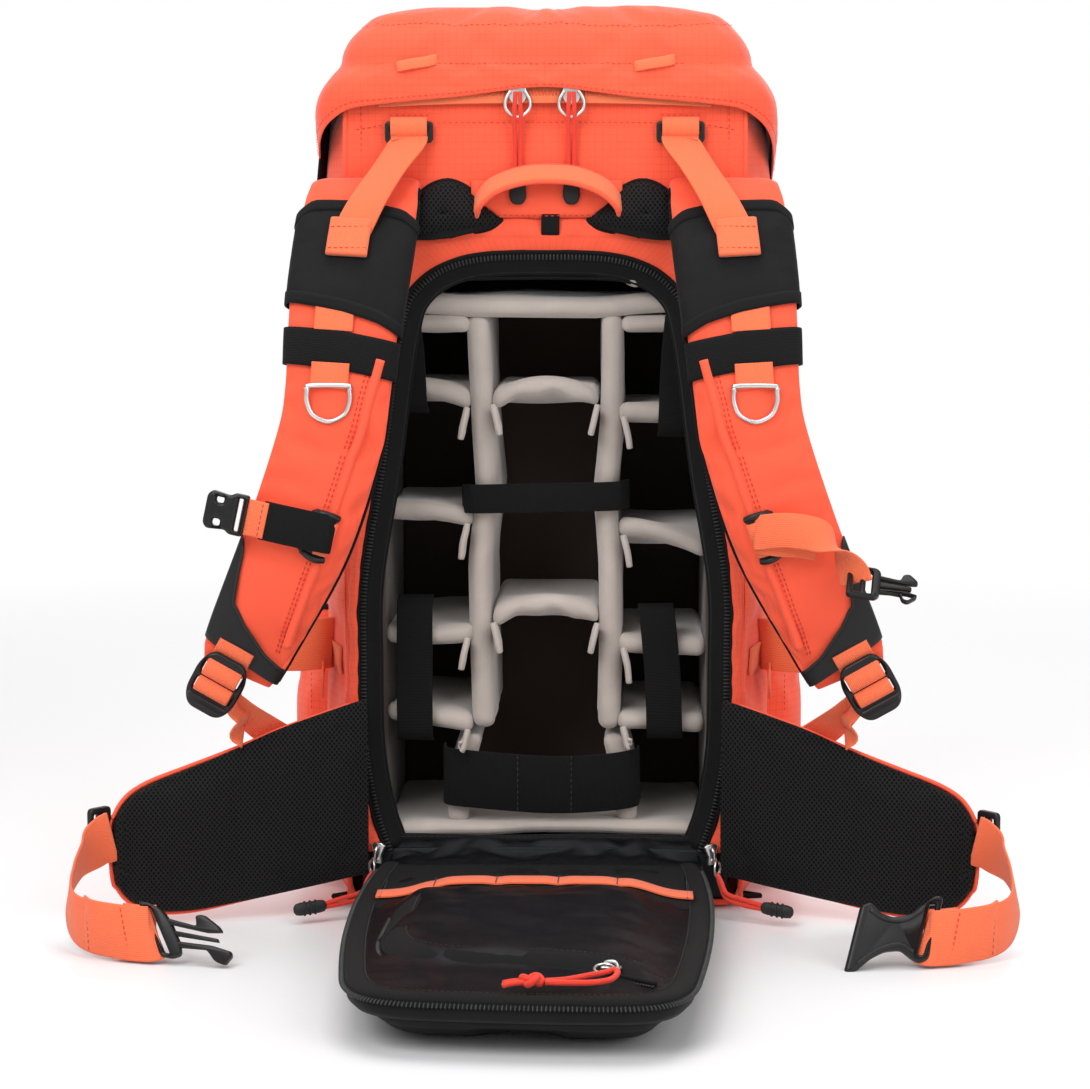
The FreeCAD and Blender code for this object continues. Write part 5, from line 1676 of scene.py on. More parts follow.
def sternum_right(middle, n):
    """Webbing that arcs over to the pronged half of the sternum buckle on the right."""
    base = middle * (-1, 1, 1) + (-8, -9, 2)
    path = [base + (0, 3, 0), base + (4, -1, 1), base + (22, -7, 3), base + (42, -10, 0), base + (56, -10, -9),
            base + (66, -9, -22), base + (70, -8, -33)]
    across = [(0.1, 0, 1), (0.12, 0, 1), (-0.1, 0.12, 1), (-0.35, 0.3, 0.9), (-0.65, 0.45, 0.62), (-0.85, 0.4, 0.35), (-0.9, 0.4, 0.2)]
    place(webbing("sternum_web_right", path, 24, across, 1.9, 10), "sternum_strap_right", strap_web, "orange_webbing",
          "sternum_webbing_right")
    under = [base + (2, 2, -3), base + (18, 1, -5), base + (34, 2, -6), base + (44, 4, -8)]
    place(webbing("sternum_web_tail", under, 22, (0.1, 0, 1), 1.8), "sternum_strap_right", strap_web)
    at = axes_place(base + (77, -10, -33), (0.98, -0.1, -0.14), (0.12, 0.62, 0.78))
    bar = rounded_outline([(-14, -12), (6, -12), (9, -9), (9, 9), (6, 12), (-14, 12)], 2.5)
    slots = [rounded_outline([(-10, -9), (-5, -9), (-5, 9), (-10, 9)], 1.2),
             rounded_outline([(-1, -9), (3, -9), (3, 9), (-1, 9)], 1.2)]
    place(cut_plate("sternum_prong_bar", [bar, *slots], 6.5, 1.6, at), "sternum_strap_right", plastic_black,
          "black_plastic", "sternum_buckle_male")
    prong(at, "sternum_prong", "sternum_strap_right", 8.0, 26.0, 11.0, 5.0)


def prong(at, name, body, start, reach, half, depth):
    """Three fingers of a side-release buckle: two hooked springs and a middle guide."""
    guide = rounded_outline([(start, -2.2), (start + reach * 0.86, -1.6), (start + reach * 0.86, 1.6), (start, 2.2)], 1.0)
    place(cut_plate(f"{name}_guide", [guide], depth * 0.7, 1.0, at), body, plastic_black)
    for side, sign in (("upper", 1), ("lower", -1)):
        arm = [(start, half * 0.62), (start + reach * 0.55, half * 0.5), (start + reach * 0.62, half * 0.95),
               (start + reach * 0.78, half * 1.05), (start + reach, half * 0.62), (start + reach * 1.02, half * 0.38),
               (start + reach * 0.7, half * 0.26), (start, half * 0.34)]
        outline = rounded_outline([(x, sign * y) for x, y in arm], 1.8)
        place(cut_plate(f"{name}_{side}", [outline], depth, 1.3, at), body, plastic_black)


load_lifters()
lower_buckles()
anchor_webbing()
slider_middle, slider_normal = sternum_sliders()
sternum_left(slider_middle, slider_normal)
sternum_right(slider_middle, slider_normal)


# ---------------------------------------------------------------- hip belt
# Centre line of the left wing from the pack outwards: x, y, low edge, high edge.
WING = ((-129, -127, 28, 156), (-137, -130, 27, 154), (-160, -138, 23, 147), (-190, -148, 18, 137), (-220, -156, 13, 124),
        (-250, -164, 9, 112), (-275, -170, 10, 102), (-290, -174, 16, 94), (-299, -177, 26, 84), (-304, -178.5, 40, 70))


def wing_grid(grow, reach, columns=44):
    """Rings round the left wing along its length; reach scales its length past the last station."""
    stations = resample(curve_through(WING, 8), 5.5)
    t = tangents(stations[:, :2] * 1.0)
    rows = []
    angle = np.linspace(0, 2 * math.pi, columns, endpoint=False)
    c, s = np.cos(angle), np.sin(angle)
    total = len(stations)
    for i, ((x, y, low, high), (tx, ty)) in enumerate(zip(stations, t)):
        end = np.clip((total - 1 - i) / 4.0, 0.12, 1) ** 0.5
        half_z = (high - low) / 2 + grow
        half_t = (7.5 + grow) * end
        up = np.sign(s) * np.abs(s) ** 0.36 * half_z
        out = np.sign(c) * np.abs(c) ** 0.75 * half_t
        nx, ny = ty, -tx
        if ny > 0:
            nx, ny = -nx, -ny
        rows.append(np.column_stack([x + nx * out + tx * reach * (1 - end), y + ny * out + ty * reach * (1 - end),
                                     (low + high) / 2 + up]))
    return np.array(rows), out, up


def wings():
    """Padded wings: mesh facing the wearer, orange cloth behind and round the rim."""
    rows, _, _ = wing_grid(0.0, 0.0)
    obj = sheet("wing_mesh", rows[:, ::-1], thickness=0, closed=True)
    angle = np.linspace(0, 2 * math.pi, 44, endpoint=False)[::-1]
    pin = np.zeros(rows.shape[:2])
    pin[:2], pin[-2:] = 1, 1
    pin[:, np.abs(np.cos(angle)) < 0.3] = 1
    relax_cloth(obj, pin.ravel(), pressure=1.2, grow=0.015, cap=3.5)
    points = points_of(obj)
    index = np.repeat(np.arange(len(rows)), 44) / (len(rows) - 1)
    front = np.tile(np.cos(angle) > 0.1, len(rows))
    groove = np.exp(-((index - 0.86) / 0.035) ** 2) * front * 3.0
    wave_ = noise(points, 80, seed=70) * 0.8 * front
    points[:, 1] += groove + wave_
    hidden = np.tile(np.cos(angle) < -0.12, len(rows))
    points[hidden] = wing_grid(-4.5, 0.0)[0][:, ::-1].reshape(-1, 3)[hidden]
    set_points(obj, points)
    subdivide(obj)
    box_uv(obj)
    pair(obj, "wing", mesh_black, "black_mesh", "hip_wing")
    shell_rows = wing_grid(2.0, 3.0)[0]
    near = wing_grid(-1.2, 0.0)[0]
    share = np.clip((np.arange(len(near)) / (len(near) - 1) - 0.35) / 0.4, 0, 1)[:, None, None]
    shell_rows = near * (1 - share) + shell_rows * share
    behind = np.cos(np.linspace(0, 2 * math.pi, 44, endpoint=False)) < -0.12
    first = int(np.nonzero(behind)[0][0])
    shell = sheet("wing_shell", shell_rows[:, first:first + int(behind.sum())], thickness=1.6)
    subdivide(shell)
    pair(shell, "wing", fabric_plain, "orange_fabric")
    edge = shell_rows[:, first]
    lower = shell_rows[:, first + int(behind.sum()) - 1]
    whole = np.vstack([edge[2:], lower[2:][::-1]])
    pair(cord("wing_piping", whole[::2], 1.6, 3), "wing", fabric_plain)


# Plan line of the left hip webbing with the height of its middle: x, y, z.
HIP_LOOP = ((-303, -184, 66), (-311, -191, 63), (-320.5, -204, 54), (-325.5, -226, 39), (-319, -256, 26), (-299, -275, 21),
            (-266, -284, 19.5))


def hip_webbing_pair():
    """Hip webbing standing on edge: from the wing's tip forward and round, with its end sewn back on itself."""
    path = np.array(HIP_LOOP, float)
    across = [(0.1, 0.1, 1), (0.2, 0.1, 1), (0.3, 0.1, 0.95), (0.2, -0.1, 1), (0.0, -0.1, 1), (-0.1, 0.1, 1), (-0.25, 0.2, 0.95)]
    pair(webbing("hip_band", path, 36, across, 1.9, 8), "hip_webbing", strap_web, "orange_webbing", "hip_strap")
    layer = [(-309, -267, 24), (-303, -275, 22.5), (-292, -281, 21.5), (-278, -286, 20.5), (-263, -288, 20), (-257, -284, 20)]
    tilt = [(0.0, -0.05, 1), (0, -0.05, 1), (-0.05, 0, 1), (-0.1, 0.1, 1), (-0.3, 0.2, 0.95), (-0.4, 0.3, 0.86)]
    pair(webbing("hip_band_layer", layer, 37, tilt, 2.4, 6), "hip_webbing", strap_web)
    inner = [(-258, -281, 20), (-268, -281, 20), (-282, -277, 20.5)]
    pair(webbing("hip_band_return", inner, 36, (-0.25, 0.2, 0.95), 2.0, 6), "hip_webbing", strap_web)
    seam = line((-275, -288.7, 4.5), (-281, -286.6, 36), 3)
    pair(stitches("hip_band_stitches", seam, (-0.15, -1, 0)), "hip_webbing", stitch_thread)
    hem = line((-305, -274.8, 7), (-306.5, -273.2, 38), 3)
    pair(stitches("hip_band_hem", hem, (-0.6, -0.8, 0)), "hip_webbing", stitch_thread)
    at = axes_place((-312, -185, 68), (0.6, 0.8, 0), (0, 0, 1))
    glide = rounded_frame("hip_glide", 20, 38, 4.5, [(-4.2, 0, 4.2, 29), (4.2, 0, 4.2, 29)], 4.0, place_at=at)
    pair(glide, "hip_webbing", plastic_black)


def hip_buckles():
    """The two halves of the hip belt's side-release buckle, leaning back on the ground."""
    at = axes_place((-251, -285, 21), (0.95, -0.25, -0.1), (-0.42, 0.36, 0.83))
    bar = rounded_outline([(-11, -21), (-3, -21), (5, -17), (8, -8), (8, 8), (5, 17), (-3, 21), (-11, 21)], 3)
    slots = [rounded_outline([(-7.5, -17), (-3.0, -17), (-3.0, 17), (-7.5, 17)], 1.2)]
    place(cut_plate("hip_prong_bar", [bar, *slots], 8.5, 2.0, at), "hip_buckle_left", plastic_black, "black_plastic",
          "hip_buckle_male")
    prong(at, "hip_prong", "hip_buckle_left", 6.0, 38.0, 18.0, 7.5)
    at = axes_place((238, -285, 22), (0.98, 0.12, 0.1), (0.26, 0.42, 0.87))
    half = [(-29, -24), (-22, -25), (-13, -16), (-4, -12), (7, -12.5), (15, -19), (22, -24), (28, -22)]
    outline = half + [(x, -y) for x, y in half[::-1]]
    slots = [rounded_outline([(19.5, -18), (23.5, -18), (23.5, 18), (19.5, 18)], 1.2)]
    socket = cut_plate("hip_socket", [rounded_outline(outline, 3.0, 5), *slots], 10.0, 2.8, at)
    place(socket, "hip_buckle_right", plastic_black, "black_plastic", "hip_buckle_female")
    centre = np.array([238.0, -285, 22])
    axis, lean = np.array([0.98, 0.12, 0.1]), np.array([0.26, 0.42, 0.87])
    out = np.cross(axis, lean)
    for name, sign in (("upper", 1), ("lower", -1)):
        rib = [centre + axis * -22 + lean * (sign * 19) + out * 4.6, centre + axis * -10 + lean * (sign * 11) + out * 5,
               centre + axis * 4 + lean * (sign * 8.5) + out * 5, centre + axis * 16 + lean * (sign * 15) + out * 4.4]
        place(cord(f"hip_socket_rib_{name}", rib, 1.5, 6), "hip_buckle_right", plastic_black)


wings()
hip_webbing_pair()
hip_buckles()


# ---------------------------------------------------------------- back panel, lying open
FLAP_TOP = 36.0
# The open panel's edge: half width, and distance from the hinge line.
FLAP_EDGE = ((112, 26), (116, 80), (118, 160), (115, 260), (108, 350), (102, 392), (90, 416), (70, 427), (38, 430), (0, 431))


def flap_path(offset, z, pitch=6.0, start=34.0):
    """The open panel's edge from its left hinge corner round the tip to the right; offset is outwards."""
    left = [(-width, hinge_y - reach, z) for width, reach in FLAP_EDGE]
    right = [(-x, y, z) for x, y, z in left[:-1]][::-1]
    base = resample(curve_through(left + right, 6), pitch)
    base = base[hinge_y - base[:, 1] > start]
    path = base + np.cross(tangents(base), (0, 0, 1.0)) * offset
    reach = hinge_y - base[:, 1]
    path[:, 1] -= 0.07 * base[:, 0] * (reach / 430) ** 3
    path[:, 0] -= flap_shift(reach)
    return path


def flap_shift(reach):
    """The open panel lies a little to the left, more so at its tip."""
    return 3.0 + 0.01 * reach


def flap_inside(points, margin=10.0):
    """How deep inside the panel's edge each point lies, from 0 at the edge to 1."""
    edge = flap_path(-margin, 0.0, 8.0)[:, :2]
    gap = np.linalg.norm(points[:, None, :2] - edge[None], axis=2).min(1)
    return np.clip(gap / 18.0, 0, 1)


def flap_board():
    """The panel's board: a rounded edge all round and a flat underside."""
    levels = ((-16, 22.5), (-3, 23), (0, 26), (0.6, 30), (0, 34), (-3, FLAP_TOP - 0.4), (-12, FLAP_TOP - 0.6))
    rows = [flap_path(offset, z) for offset, z in levels]
    edge = sheet("flap_edge", np.array(rows), thickness=1.2)
    place(edge, "back_panel", stretch_black, "black_nylon", "panel_board")
    under = flap_path(-14.0, 22.5, 8.0)
    half = len(under) // 2
    left, right = under[:half], under[::-1][:half]
    place(sheet("flap_underside", grid_between(left, right, 20), thickness=1.5), "back_panel", nylon_black)


def flap_rim():
    """Bound rim of the panel with its half of the zip."""
    rows = [flap_path(offset, z, 5.0, 28.0) for offset, z in
            ((0.8, FLAP_TOP - 3), (1.0, FLAP_TOP), (-1.2, FLAP_TOP + 1.8), (-6, FLAP_TOP + 2.4), (-11, FLAP_TOP + 1.8),
             (-12.5, FLAP_TOP + 0.2))]
    rim = sheet("flap_rim", np.array(rows), thickness=1.2)
    subdivide(rim)
    place(rim, "back_panel", binding_black)
    tape = sheet("flap_tape", np.array([flap_path(0.4, FLAP_TOP - 1.5), flap_path(3.4, FLAP_TOP - 3.4)]), thickness=1.0)
    place(tape, "back_panel", binding_black)
    teeth = zip_teeth("flap_teeth", flap_path(3.0, FLAP_TOP - 2.6), (0, -0.5, 1), pitch=2.6, width=4.4, height=2.6)
    place(teeth, "back_panel", coil_black)
    place(stitches("flap_rim_stitches", flap_path(-11.4, FLAP_TOP + 2.6), (0, 0, 1), 2.2, 1.6), "back_panel", black_thread)


POCKET_ZIP = ((-93, -300), (-95, -347), (-96, -396), (-91, -425), (-79, -442), (-60, -454), (-32, -459), (8, -464),
              (40, -474), (66, -490), (76, -497))
pocket_path = resample(curve_through(POCKET_ZIP, 6), 6.0)
pocket_inward = np.cross(tangents(np.column_stack([pocket_path, np.zeros(len(pocket_path))])), (0, 0, -1.0))[:, :2]


def flap_height(x, y):
    """Height of the pocket's bulge over the panel's lining; it rises steeply behind its zip."""
    spots = np.column_stack([np.ravel(x), np.ravel(y)]).astype(float)
    gap = spots[:, None] - pocket_path
    nearest = (gap**2).sum(2).argmin(1)
    behind = (gap[np.arange(len(spots)), nearest] * pocket_inward[nearest]).sum(1).reshape(np.shape(x))
    front = 1 / (1 + np.exp((6.5 - behind) / 3.0))
    side = 1 / (1 + np.exp((x - 71) / 4.5))
    start = 0.68 + 0.32 * np.clip((-y - 262) / 50, 0, 1)
    slope = 0.66 + 0.34 * np.clip((y + 478) / 170, 0, 1)
    return 14.0 * side * front * slope * start


def flap_lining():
    """Nylon lining and the bulging pocket sewn over it."""
    columns = np.linspace(-1, 1, 46)
    rows = []
    for y in np.concatenate([np.linspace(-134, -262, 12), np.linspace(-268, -517, 44)]):
        reach = hinge_y - y
        half = np.interp(reach, [r for _, r in FLAP_EDGE[:-1]], [w for w, _ in FLAP_EDGE[:-1]]) - 10.5
        x = columns * half
        tilt = 0.07 * x * (reach / 430) ** 3
        rows.append(np.column_stack([x - flap_shift(reach), y - tilt, np.full(46, FLAP_TOP + 0.6)]))
    grid = np.array(rows)
    obj = sheet("flap_pocket", grid, thickness=0)
    points = points_of(obj)
    depth = np.repeat(np.clip((-264 - grid[:, 0, 1]) / 10.0, 0, 1), 46)
    depth = np.where(np.repeat(grid[:, 0, 1], 46) > -266, 0.72, 1.0) * np.clip((-200 - points[:, 1]) / 40, 0, 1)
    lift = flap_height(points[:, 0], points[:, 1]) * depth
    crease = noise(points * (1.0, 0.55, 1), 42, seed=81) * 1.9 + noise(points * (0.5, 1.5, 1), 24, seed=82) * 1.0
    calm = np.clip(lift / 5, 0.25, 1) * flap_inside(points)
    set_points(obj, points + np.column_stack([np.zeros((len(points), 2)), lift + crease * calm]))
    relax_cloth(obj, edge_pin(56, 46), pressure=0.8, grow=0.012, cap=3.0, stiffness=8)
    thicken(obj, 1.0)
    subdivide(obj)
    place(obj, "back_panel", nylon_black, "black_nylon", "panel_pocket")


def on_pocket(points, lift=1.2):
    """Lays (x, y) points on the pocket's bulge."""
    p = np.asarray(points, float)
    return np.column_stack([p[:, 0], p[:, 1], FLAP_TOP + 0.8 + lift + flap_height(p[:, 0], p[:, 1])])


def strip_height(x):
    """The webbing strip lies flat at its ends and rides up over the pocket's bulge."""
    return FLAP_TOP + 3.2 + 10.5 / (1 + np.exp((np.abs(x + 2) - 78) / 8.0))


LOOP_SEAMS = (-71.0, -29.0, 13.0, 53.0)


def flap_loops():
    """Elastic sleeve by the hinge and the strip of webbing loops across the panel."""
    x = np.linspace(-108, 100, 84)
    gape = np.ones(len(x))
    for seam in LOOP_SEAMS + (-108.0, 100.0):
        gape *= 1 - np.exp(-((x - seam) / 8.0) ** 2)
    rows = []
    for s in np.linspace(0, 1, 12):
        y = -138 + (-247 + 138) * s
        base = FLAP_TOP + 1.4 + (strip_height(x) - FLAP_TOP - 1.8) * s**2
        rows.append(np.column_stack([x, np.full(len(x), y) + gape * 4 * s**4, base + gape * 2.6 * s**3]))
    sleeve = sheet("flap_sleeve", np.array(rows), thickness=1.3)
    subdivide(sleeve)
    place(sleeve, "back_panel", elastic_black)
    x = np.linspace(-111, 104, 60)
    slack = sum(np.exp(-((x - seam) / 5.0) ** 2) for seam in LOOP_SEAMS)
    path = np.column_stack([x, np.full(60, -256.0), strip_height(x) + 1.8 - slack * 0.9])
    strip = sweep("flap_strip", path, band_section(21, 2.0), (0, 1, 0))
    place(strip, "back_panel", strap_web)
    under = np.column_stack([x, np.full(60, -271.0), strip_height(x) - 1.2])
    place(sweep("flap_strip_under", under, band_section(24, 1.4), (0, 1, 0.12)), "back_panel", elastic_black)
    for i, seam in enumerate(LOOP_SEAMS + (-107.5, 100.5)):
        top = float(strip_height(np.array(seam))) + 2.6
        run = line((seam, -245, top), (seam - 0.5, -267, top), 3)
        place(stitches(f"flap_strip_stitches_{i}", run, (0, 0, 1), 2.6, 1.0, thread=1.0), "back_panel", black_thread)
        front = line((seam, -205, FLAP_TOP + 4.2), (seam, -240, top - 2.0), 3)
        place(stitches(f"flap_sleeve_stitches_{i}", front, (0, 0, 1), 2.6, 1.0, thread=0.9), "back_panel", black_thread)


def pocket_zip():
    """Curved welt of the pocket's zip with its stitches."""
    path, inward = pocket_path, pocket_inward
    ends = np.clip((np.arange(len(path))[::-1]) / 5, 0.06, 1)
    rows = []
    for shift, lift in ((-1, 0.2), (0, 3.0), (3, 3.8), (9, 3.2), (15, 2.0), (17.5, 0.2)):
        rows.append(on_pocket(path + inward * shift, lift * ends))
    welt = sheet("pocket_welt", np.array(rows), thickness=1.0)
    subdivide(welt)
    place(welt, "back_panel", binding_black)
    place(cord("pocket_welt_edge", on_pocket(path, 2.2)[::2], 1.5, 3), "back_panel", binding_black)
    seam = on_pocket(path + inward * 15, 2.6)
    place(stitches("pocket_welt_stitches", seam, (0, 0, 1), 2.2, 1.6), "back_panel", black_thread)
    teeth = zip_teeth("pocket_teeth", on_pocket(path + inward * -3.0, 1.2), (0, 0, 1), pitch=2.2, width=3.4, height=1.6)
    place(teeth, "back_panel", coil_black)


def overhand_knot(name, centre, size, radius, body, squeeze=(1.0, 1.0, 0.7)):
    """A pulled-tight knot in a cord: a small trefoil."""
    t = np.linspace(0, 2 * math.pi, 40, endpoint=False)
    curve = np.column_stack([np.sin(t) + 2 * np.sin(2 * t), np.cos(t) - 2 * np.cos(2 * t), -np.sin(3 * t) * 1.4])
    points = np.asarray(centre, float) + curve / 3 * size * np.asarray(squeeze)
    place(cord(name, points, radius, 2, closed=True), body, cord_red)


def slider_body(name, centre, along, up, body, slot=None, replaces=(), size=1.0):
    """A metal zip slider: a waisted plate with a bridge."""
    at = axes_place(centre, along, np.cross(up, along))
    outline = rounded_outline(np.array([(-6, -3.2), (-1, -2.4), (5, -4.4), (6.5, -2), (6.5, 2), (5, 4.4), (-1, 2.4),
                                        (-6, 3.2)]) * size, 1.2)
    place(cut_plate(name, [outline], 2.6 * size, 0.8 * size, at), body, steel, slot, replaces)
    a, u, c = (np.asarray(v, float) / np.linalg.norm(v) for v in (along, up, centre + np.zeros(3) + 1e-9))
    c = np.asarray(centre, float)
    bridge = [c + a * -4.5 * size + u * 1, c + a * -3 * size + u * 3.6 * size, c + a * 2.5 * size + u * 4 * size,
              c + a * 4.5 * size + u * 1]
    place(cord(f"{name}_bridge", bridge, 1.1 * size, 6), body, steel)


def pocket_pull():
    """Slider of the pocket's zip, its ring, and its knotted red cord."""
    low, high = box_mm("pocket_slider")
    centre = np.array([49.0, -479.0, 44.5])
    slider_body("pocket_zip_slider", centre, (1, -0.35, 0), (0, 0, 1), "pocket_zip", "silver_metal", "pocket_slider")
    t = np.linspace(0, 2 * math.pi, 16, endpoint=False)
    ring = np.column_stack([45 + 6.0 * np.cos(t), -485 + 5.5 * np.sin(t), 45.5 + 1.5 * np.sin(t)])
    place(cord("pocket_zip_ring", ring, 0.9, 3, closed=True), "pocket_zip", steel)
    z = 44.0
    near = [(10, -511, z), (22, -507, z), (36, -500, z + 1), (46, -494, z + 1.5), (51, -492, z + 2.5), (53, -497, z + 2),
            (49, -508, z + 0.5), (38, -514, z), (24, -515, z), (10, -514, z)]
    place(cord("pocket_zip_cord", near, 1.9, 5), "pocket_zip", cord_red)
    overhand_knot("pocket_zip_knot", (2, -513, z + 1), 6.4, 2.2, "pocket_zip", (1.0, 0.85, 0.6))
    for i, shift in enumerate((-1.4, 2.2)):
        end = [(-2, -513 + shift, z), (-9, -515 + shift * 1.4, z), (-15, -518 + shift * 1.6, z - 0.5)]
        place(cord(f"pocket_zip_cord_end_{i}", end, 1.8, 4), "pocket_zip", cord_red)


def moulded_pad():
    """Moulded foam pad under the board: stepped edge, rounded toe, and a middle channel."""
    edge = flap_path(-15.0, 0.0, 7.0, 48.0)
    outline = np.vstack([edge, line(edge[-1], edge[0], 7.0)[1:-1]])
    centre = np.array([0, -300.0, 0])
    rows = []
    for shrink, z in ((0.985, 22.0), (1.0, 20.0), (1.0, 17.5), (0.985, 15.0), (0.965, 13.8), (0.95, 11.0), (0.92, 7.5), (0.88, 4.4),
                      (0.82, 2.2), (0.74, 1.2), (0.5, 1.0), (0.3, 1.0), (0.12, 1.0), (0.0, 1.0)):
        ring = centre + (outline - centre) * shrink
        recess = np.exp(-((ring[:, 0] + 6) / 26.0) ** 8) * np.clip((-ring[:, 1] - 420) / 20, 0, 1)
        ring[:, 1] += recess * 8.0 * (z < 14)
        channel = np.exp(-(ring[:, 0] / 13.0) ** 6) * 7.0
        waist = 4.0 * np.exp(-((ring[:, 1] + 300) / 10.0) ** 4)
        ring[:, 2] = z + np.where(z < 6, np.maximum(channel, waist), 0)
        rows.append(ring)
    pad = sheet("moulded_pad", np.array(rows), thickness=0, closed=True)
    merge_pole(pad)
    thicken(pad, 1.5)
    subdivide(pad)
    place(pad, "back_panel", pad_foam, "moulded_foam", "back_pad")


def hinge_cloth():
    """Shiny nylon that joins the pack's sill to the panel, bending between them."""
    x = np.linspace(-1, 1, 44)
    profile = ((-98, 50, 108), (-103, 51, 110), (-109, 48.5, 111), (-115, 42, 112), (-120, 38.5, 113), (-127, 38, 114),
               (-134, 38.6, 114.5), (-141, 37.4, 114.5))
    rows = []
    for y, z, half in curve_through(profile, 3):
        rows.append(np.column_stack([x * half, np.full(44, y), np.full(44, z) - 2.5 * np.abs(x) ** 8]))
    grid = np.array(rows)
    obj = sheet("hinge_cloth", grid, thickness=0)
    points = points_of(obj)
    middle = np.clip(1 - np.abs(points[:, 1] + 118) / 16, 0, 1)
    crease = noise(points * (1.0, 0.3, 0.3), 46, seed=91) * 2.4 + noise(points * (1, 0.2, 0.2), 17, seed=92) * 0.8
    set_points(obj, points + np.column_stack([np.zeros(len(points)), crease * middle * 0.5, crease * middle]))
    relax_cloth(obj, edge_pin(*grid.shape[:2]), pressure=0.5, grow=0.03, cap=2.5, stiffness=6)
    thicken(obj, 1.2)
    subdivide(obj)
    obj.data.materials.append(nylon_black)
    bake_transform(obj)
    lip = [(x, -103.5 + 0.6 * math.sin(x / 17), 50.0 + 0.5 * math.sin(x / 23)) for x in np.linspace(-109, 109, 16)]
    place(cord("sill_roll", lip, 3.2, 3), "pack", stretch_black)
    place(stitches("sill_stitches", line((-108, -106.6, 51.5), (108, -106.6, 51.5), 4), (0, -0.5, 1)), "pack", black_thread)


def panel_pulls():
    """Sliders at the panel's two lower corners, their rings, cords and rubber tips."""
    for side, sign in (("left", -1), ("right", 1)):
        body = f"panel_zip_{side}"
        m = np.array([-sign, 1.0, 1.0])
        flip = lambda p: np.asarray(p, float) * m
        slider_body(f"panel_zip_slider_{side}", flip((-120.5, -121.5, 42.5)), flip((0.1, -0.1, 1)), flip((-0.35, -1, 0)), body,
                    "silver_metal", f"panel_slider_{side}", 1.25)
        t = np.linspace(0, 2 * math.pi, 14, endpoint=False)
        ring = np.column_stack([-124.5 + 2.0 * np.cos(t), -127 - 4.0 * np.cos(t), 33 + 5.5 * np.sin(t)])
        place(cord(f"panel_zip_ring_{side}", flip(ring), 0.9, 3, closed=True), body, steel)
        for name, lift in (("upper", 2.0), ("lower", -1.8)):
            strand = [(-124.5, -128, 29.5), (-127, -138, 24 + lift), (-131, -147, 17 + lift), (-144, -154, 14 + lift),
                      (-157, -160.5, 12 + lift * 0.6)]
            place(cord(f"panel_zip_cord_{name}_{side}", flip(strand), 1.7, 5), body, cord_red)
        tip_from, tip_to = np.array([-155.0, -160, 12.2]), np.array([-177.0, -170.0, 10.6])
        axis = (tip_to - tip_from) / np.linalg.norm(tip_to - tip_from)
        stations = np.array([0, 1.5, 5, 12, 19, 22.5, 24])
        sizes = np.array([2.2, 3.6, 4.1, 3.9, 4.2, 3.6, 1.8])
        section = circle_section(1.0, 12) * (1.15, 0.8)
        path = tip_from + axis * stations[:, None]
        tip = sweep(f"panel_zip_tip_{side}", flip(path), section[None] * sizes[:, None, None], (0, 0, 1))
        place(tip, body, rubber_black)
        for i in range(3):
            grip_at = tip_from + axis * (8 + 4 * i)
            a = np.linspace(0, 2 * math.pi, 12, endpoint=False)
            across = np.cross(axis, (0, 0, 1.0))
            grip = grip_at + across * 4.1 * 0.8 * np.cos(a)[:, None] * 1.05 + np.array([0, 0, 1.0]) * 4.1 * 1.2 * np.sin(a)[:, None]
            place(cord(f"panel_zip_grip_{side}_{i}", flip(grip), 0.6, 2, closed=True), body, rubber_black)


flap_board()
flap_rim()
flap_lining()
flap_loops()
pocket_zip()
pocket_pull()
moulded_pad()
hinge_cloth()
panel_pulls()


# ---------------------------------------------------------------- sides, front and frame
def frame_rod():
    """Aluminium hoop behind the rear cloth."""
    low, high = box_mm("frame_hoop")
    x, y = high[0] - 3, (low[1] + high[1]) / 2
    path = [(-x, y, low[2] + 3), (-x, y, 200), (-x, y, high[2] - 60), (-x + 12, y, high[2] - 20), (-x + 42, y, high[2] - 3),
            (0, y, high[2] - 3), (x - 42, y, high[2] - 3), (x - 12, y, high[2] - 20), (x, y, high[2] - 60), (x, y, 200),
            (x, y, low[2] + 3)]
    place(cord("frame_rod", path, 3.0, 6), "pack", aluminium, "frame_aluminium", "frame_hoop")


def side_pocket():
    """Gusseted pocket on the side with a bound, drawn-in mouth."""
    low, high = box_mm("side_pockets")
    y0, y1 = low[1], high[1]
    outline = [(-150, y0 - 4), (-163, y0 - 3), (-176, y0 + 6), (-184, y0 + 24), (-186, (y0 + y1) / 2), (-184, y1 - 22),
               (-172, y1 - 4), (-158, y1 + 4), (-146, y1 + 6)]
    plan = resample(curve_through(outline, 6), 6.0)
    rows = []
    for z in np.concatenate([[15, 18, 24], np.linspace(34, high[2] - 10, 22), [high[2] - 3]]):
        low_end = np.clip((z - 12) / 18, 0.0, 1) ** 0.5
        mouth = 1 - 0.14 * np.clip((z - 165) / 50, 0, 1) ** 2
        out = (plan[:, 0] + 152) * low_end * mouth - 152
        dip = 14 * np.clip((z - 150) / 60, 0, 1) * np.exp(-((plan[:, 1] - 10) / 30) ** 2)
        rows.append(np.column_stack([out, plan[:, 1], np.full(len(plan), z) - dip * 0.8]))
    grid = np.array(rows)
    obj = sheet("side_pocket", grid, thickness=0)
    relax_cloth(obj, edge_pin(*grid.shape[:2]), pressure=0.8, grow=0.04, cap=5.0)
    thicken(obj, 1.5)
    subdivide(obj)
    hem = grid[-1] + (0, 0, 1)
    left = obj
    right = mirror_copy(obj, "side_pocket_right")
    left.name = "side_pocket_left"
    place(left, "pack", fabric, "orange_fabric", "side_pockets")
    place(right, "pack", fabric)
    pair(cord("side_pocket_hem", hem[::2], 2.2, 3), "pack", binding_black)
    seam = grid[2:, 5] + (-0.6, -0.6, 0)
    pair(stitches("side_pocket_stitches", seam, (-0.6, -0.8, 0)), "pack", stitch_thread)


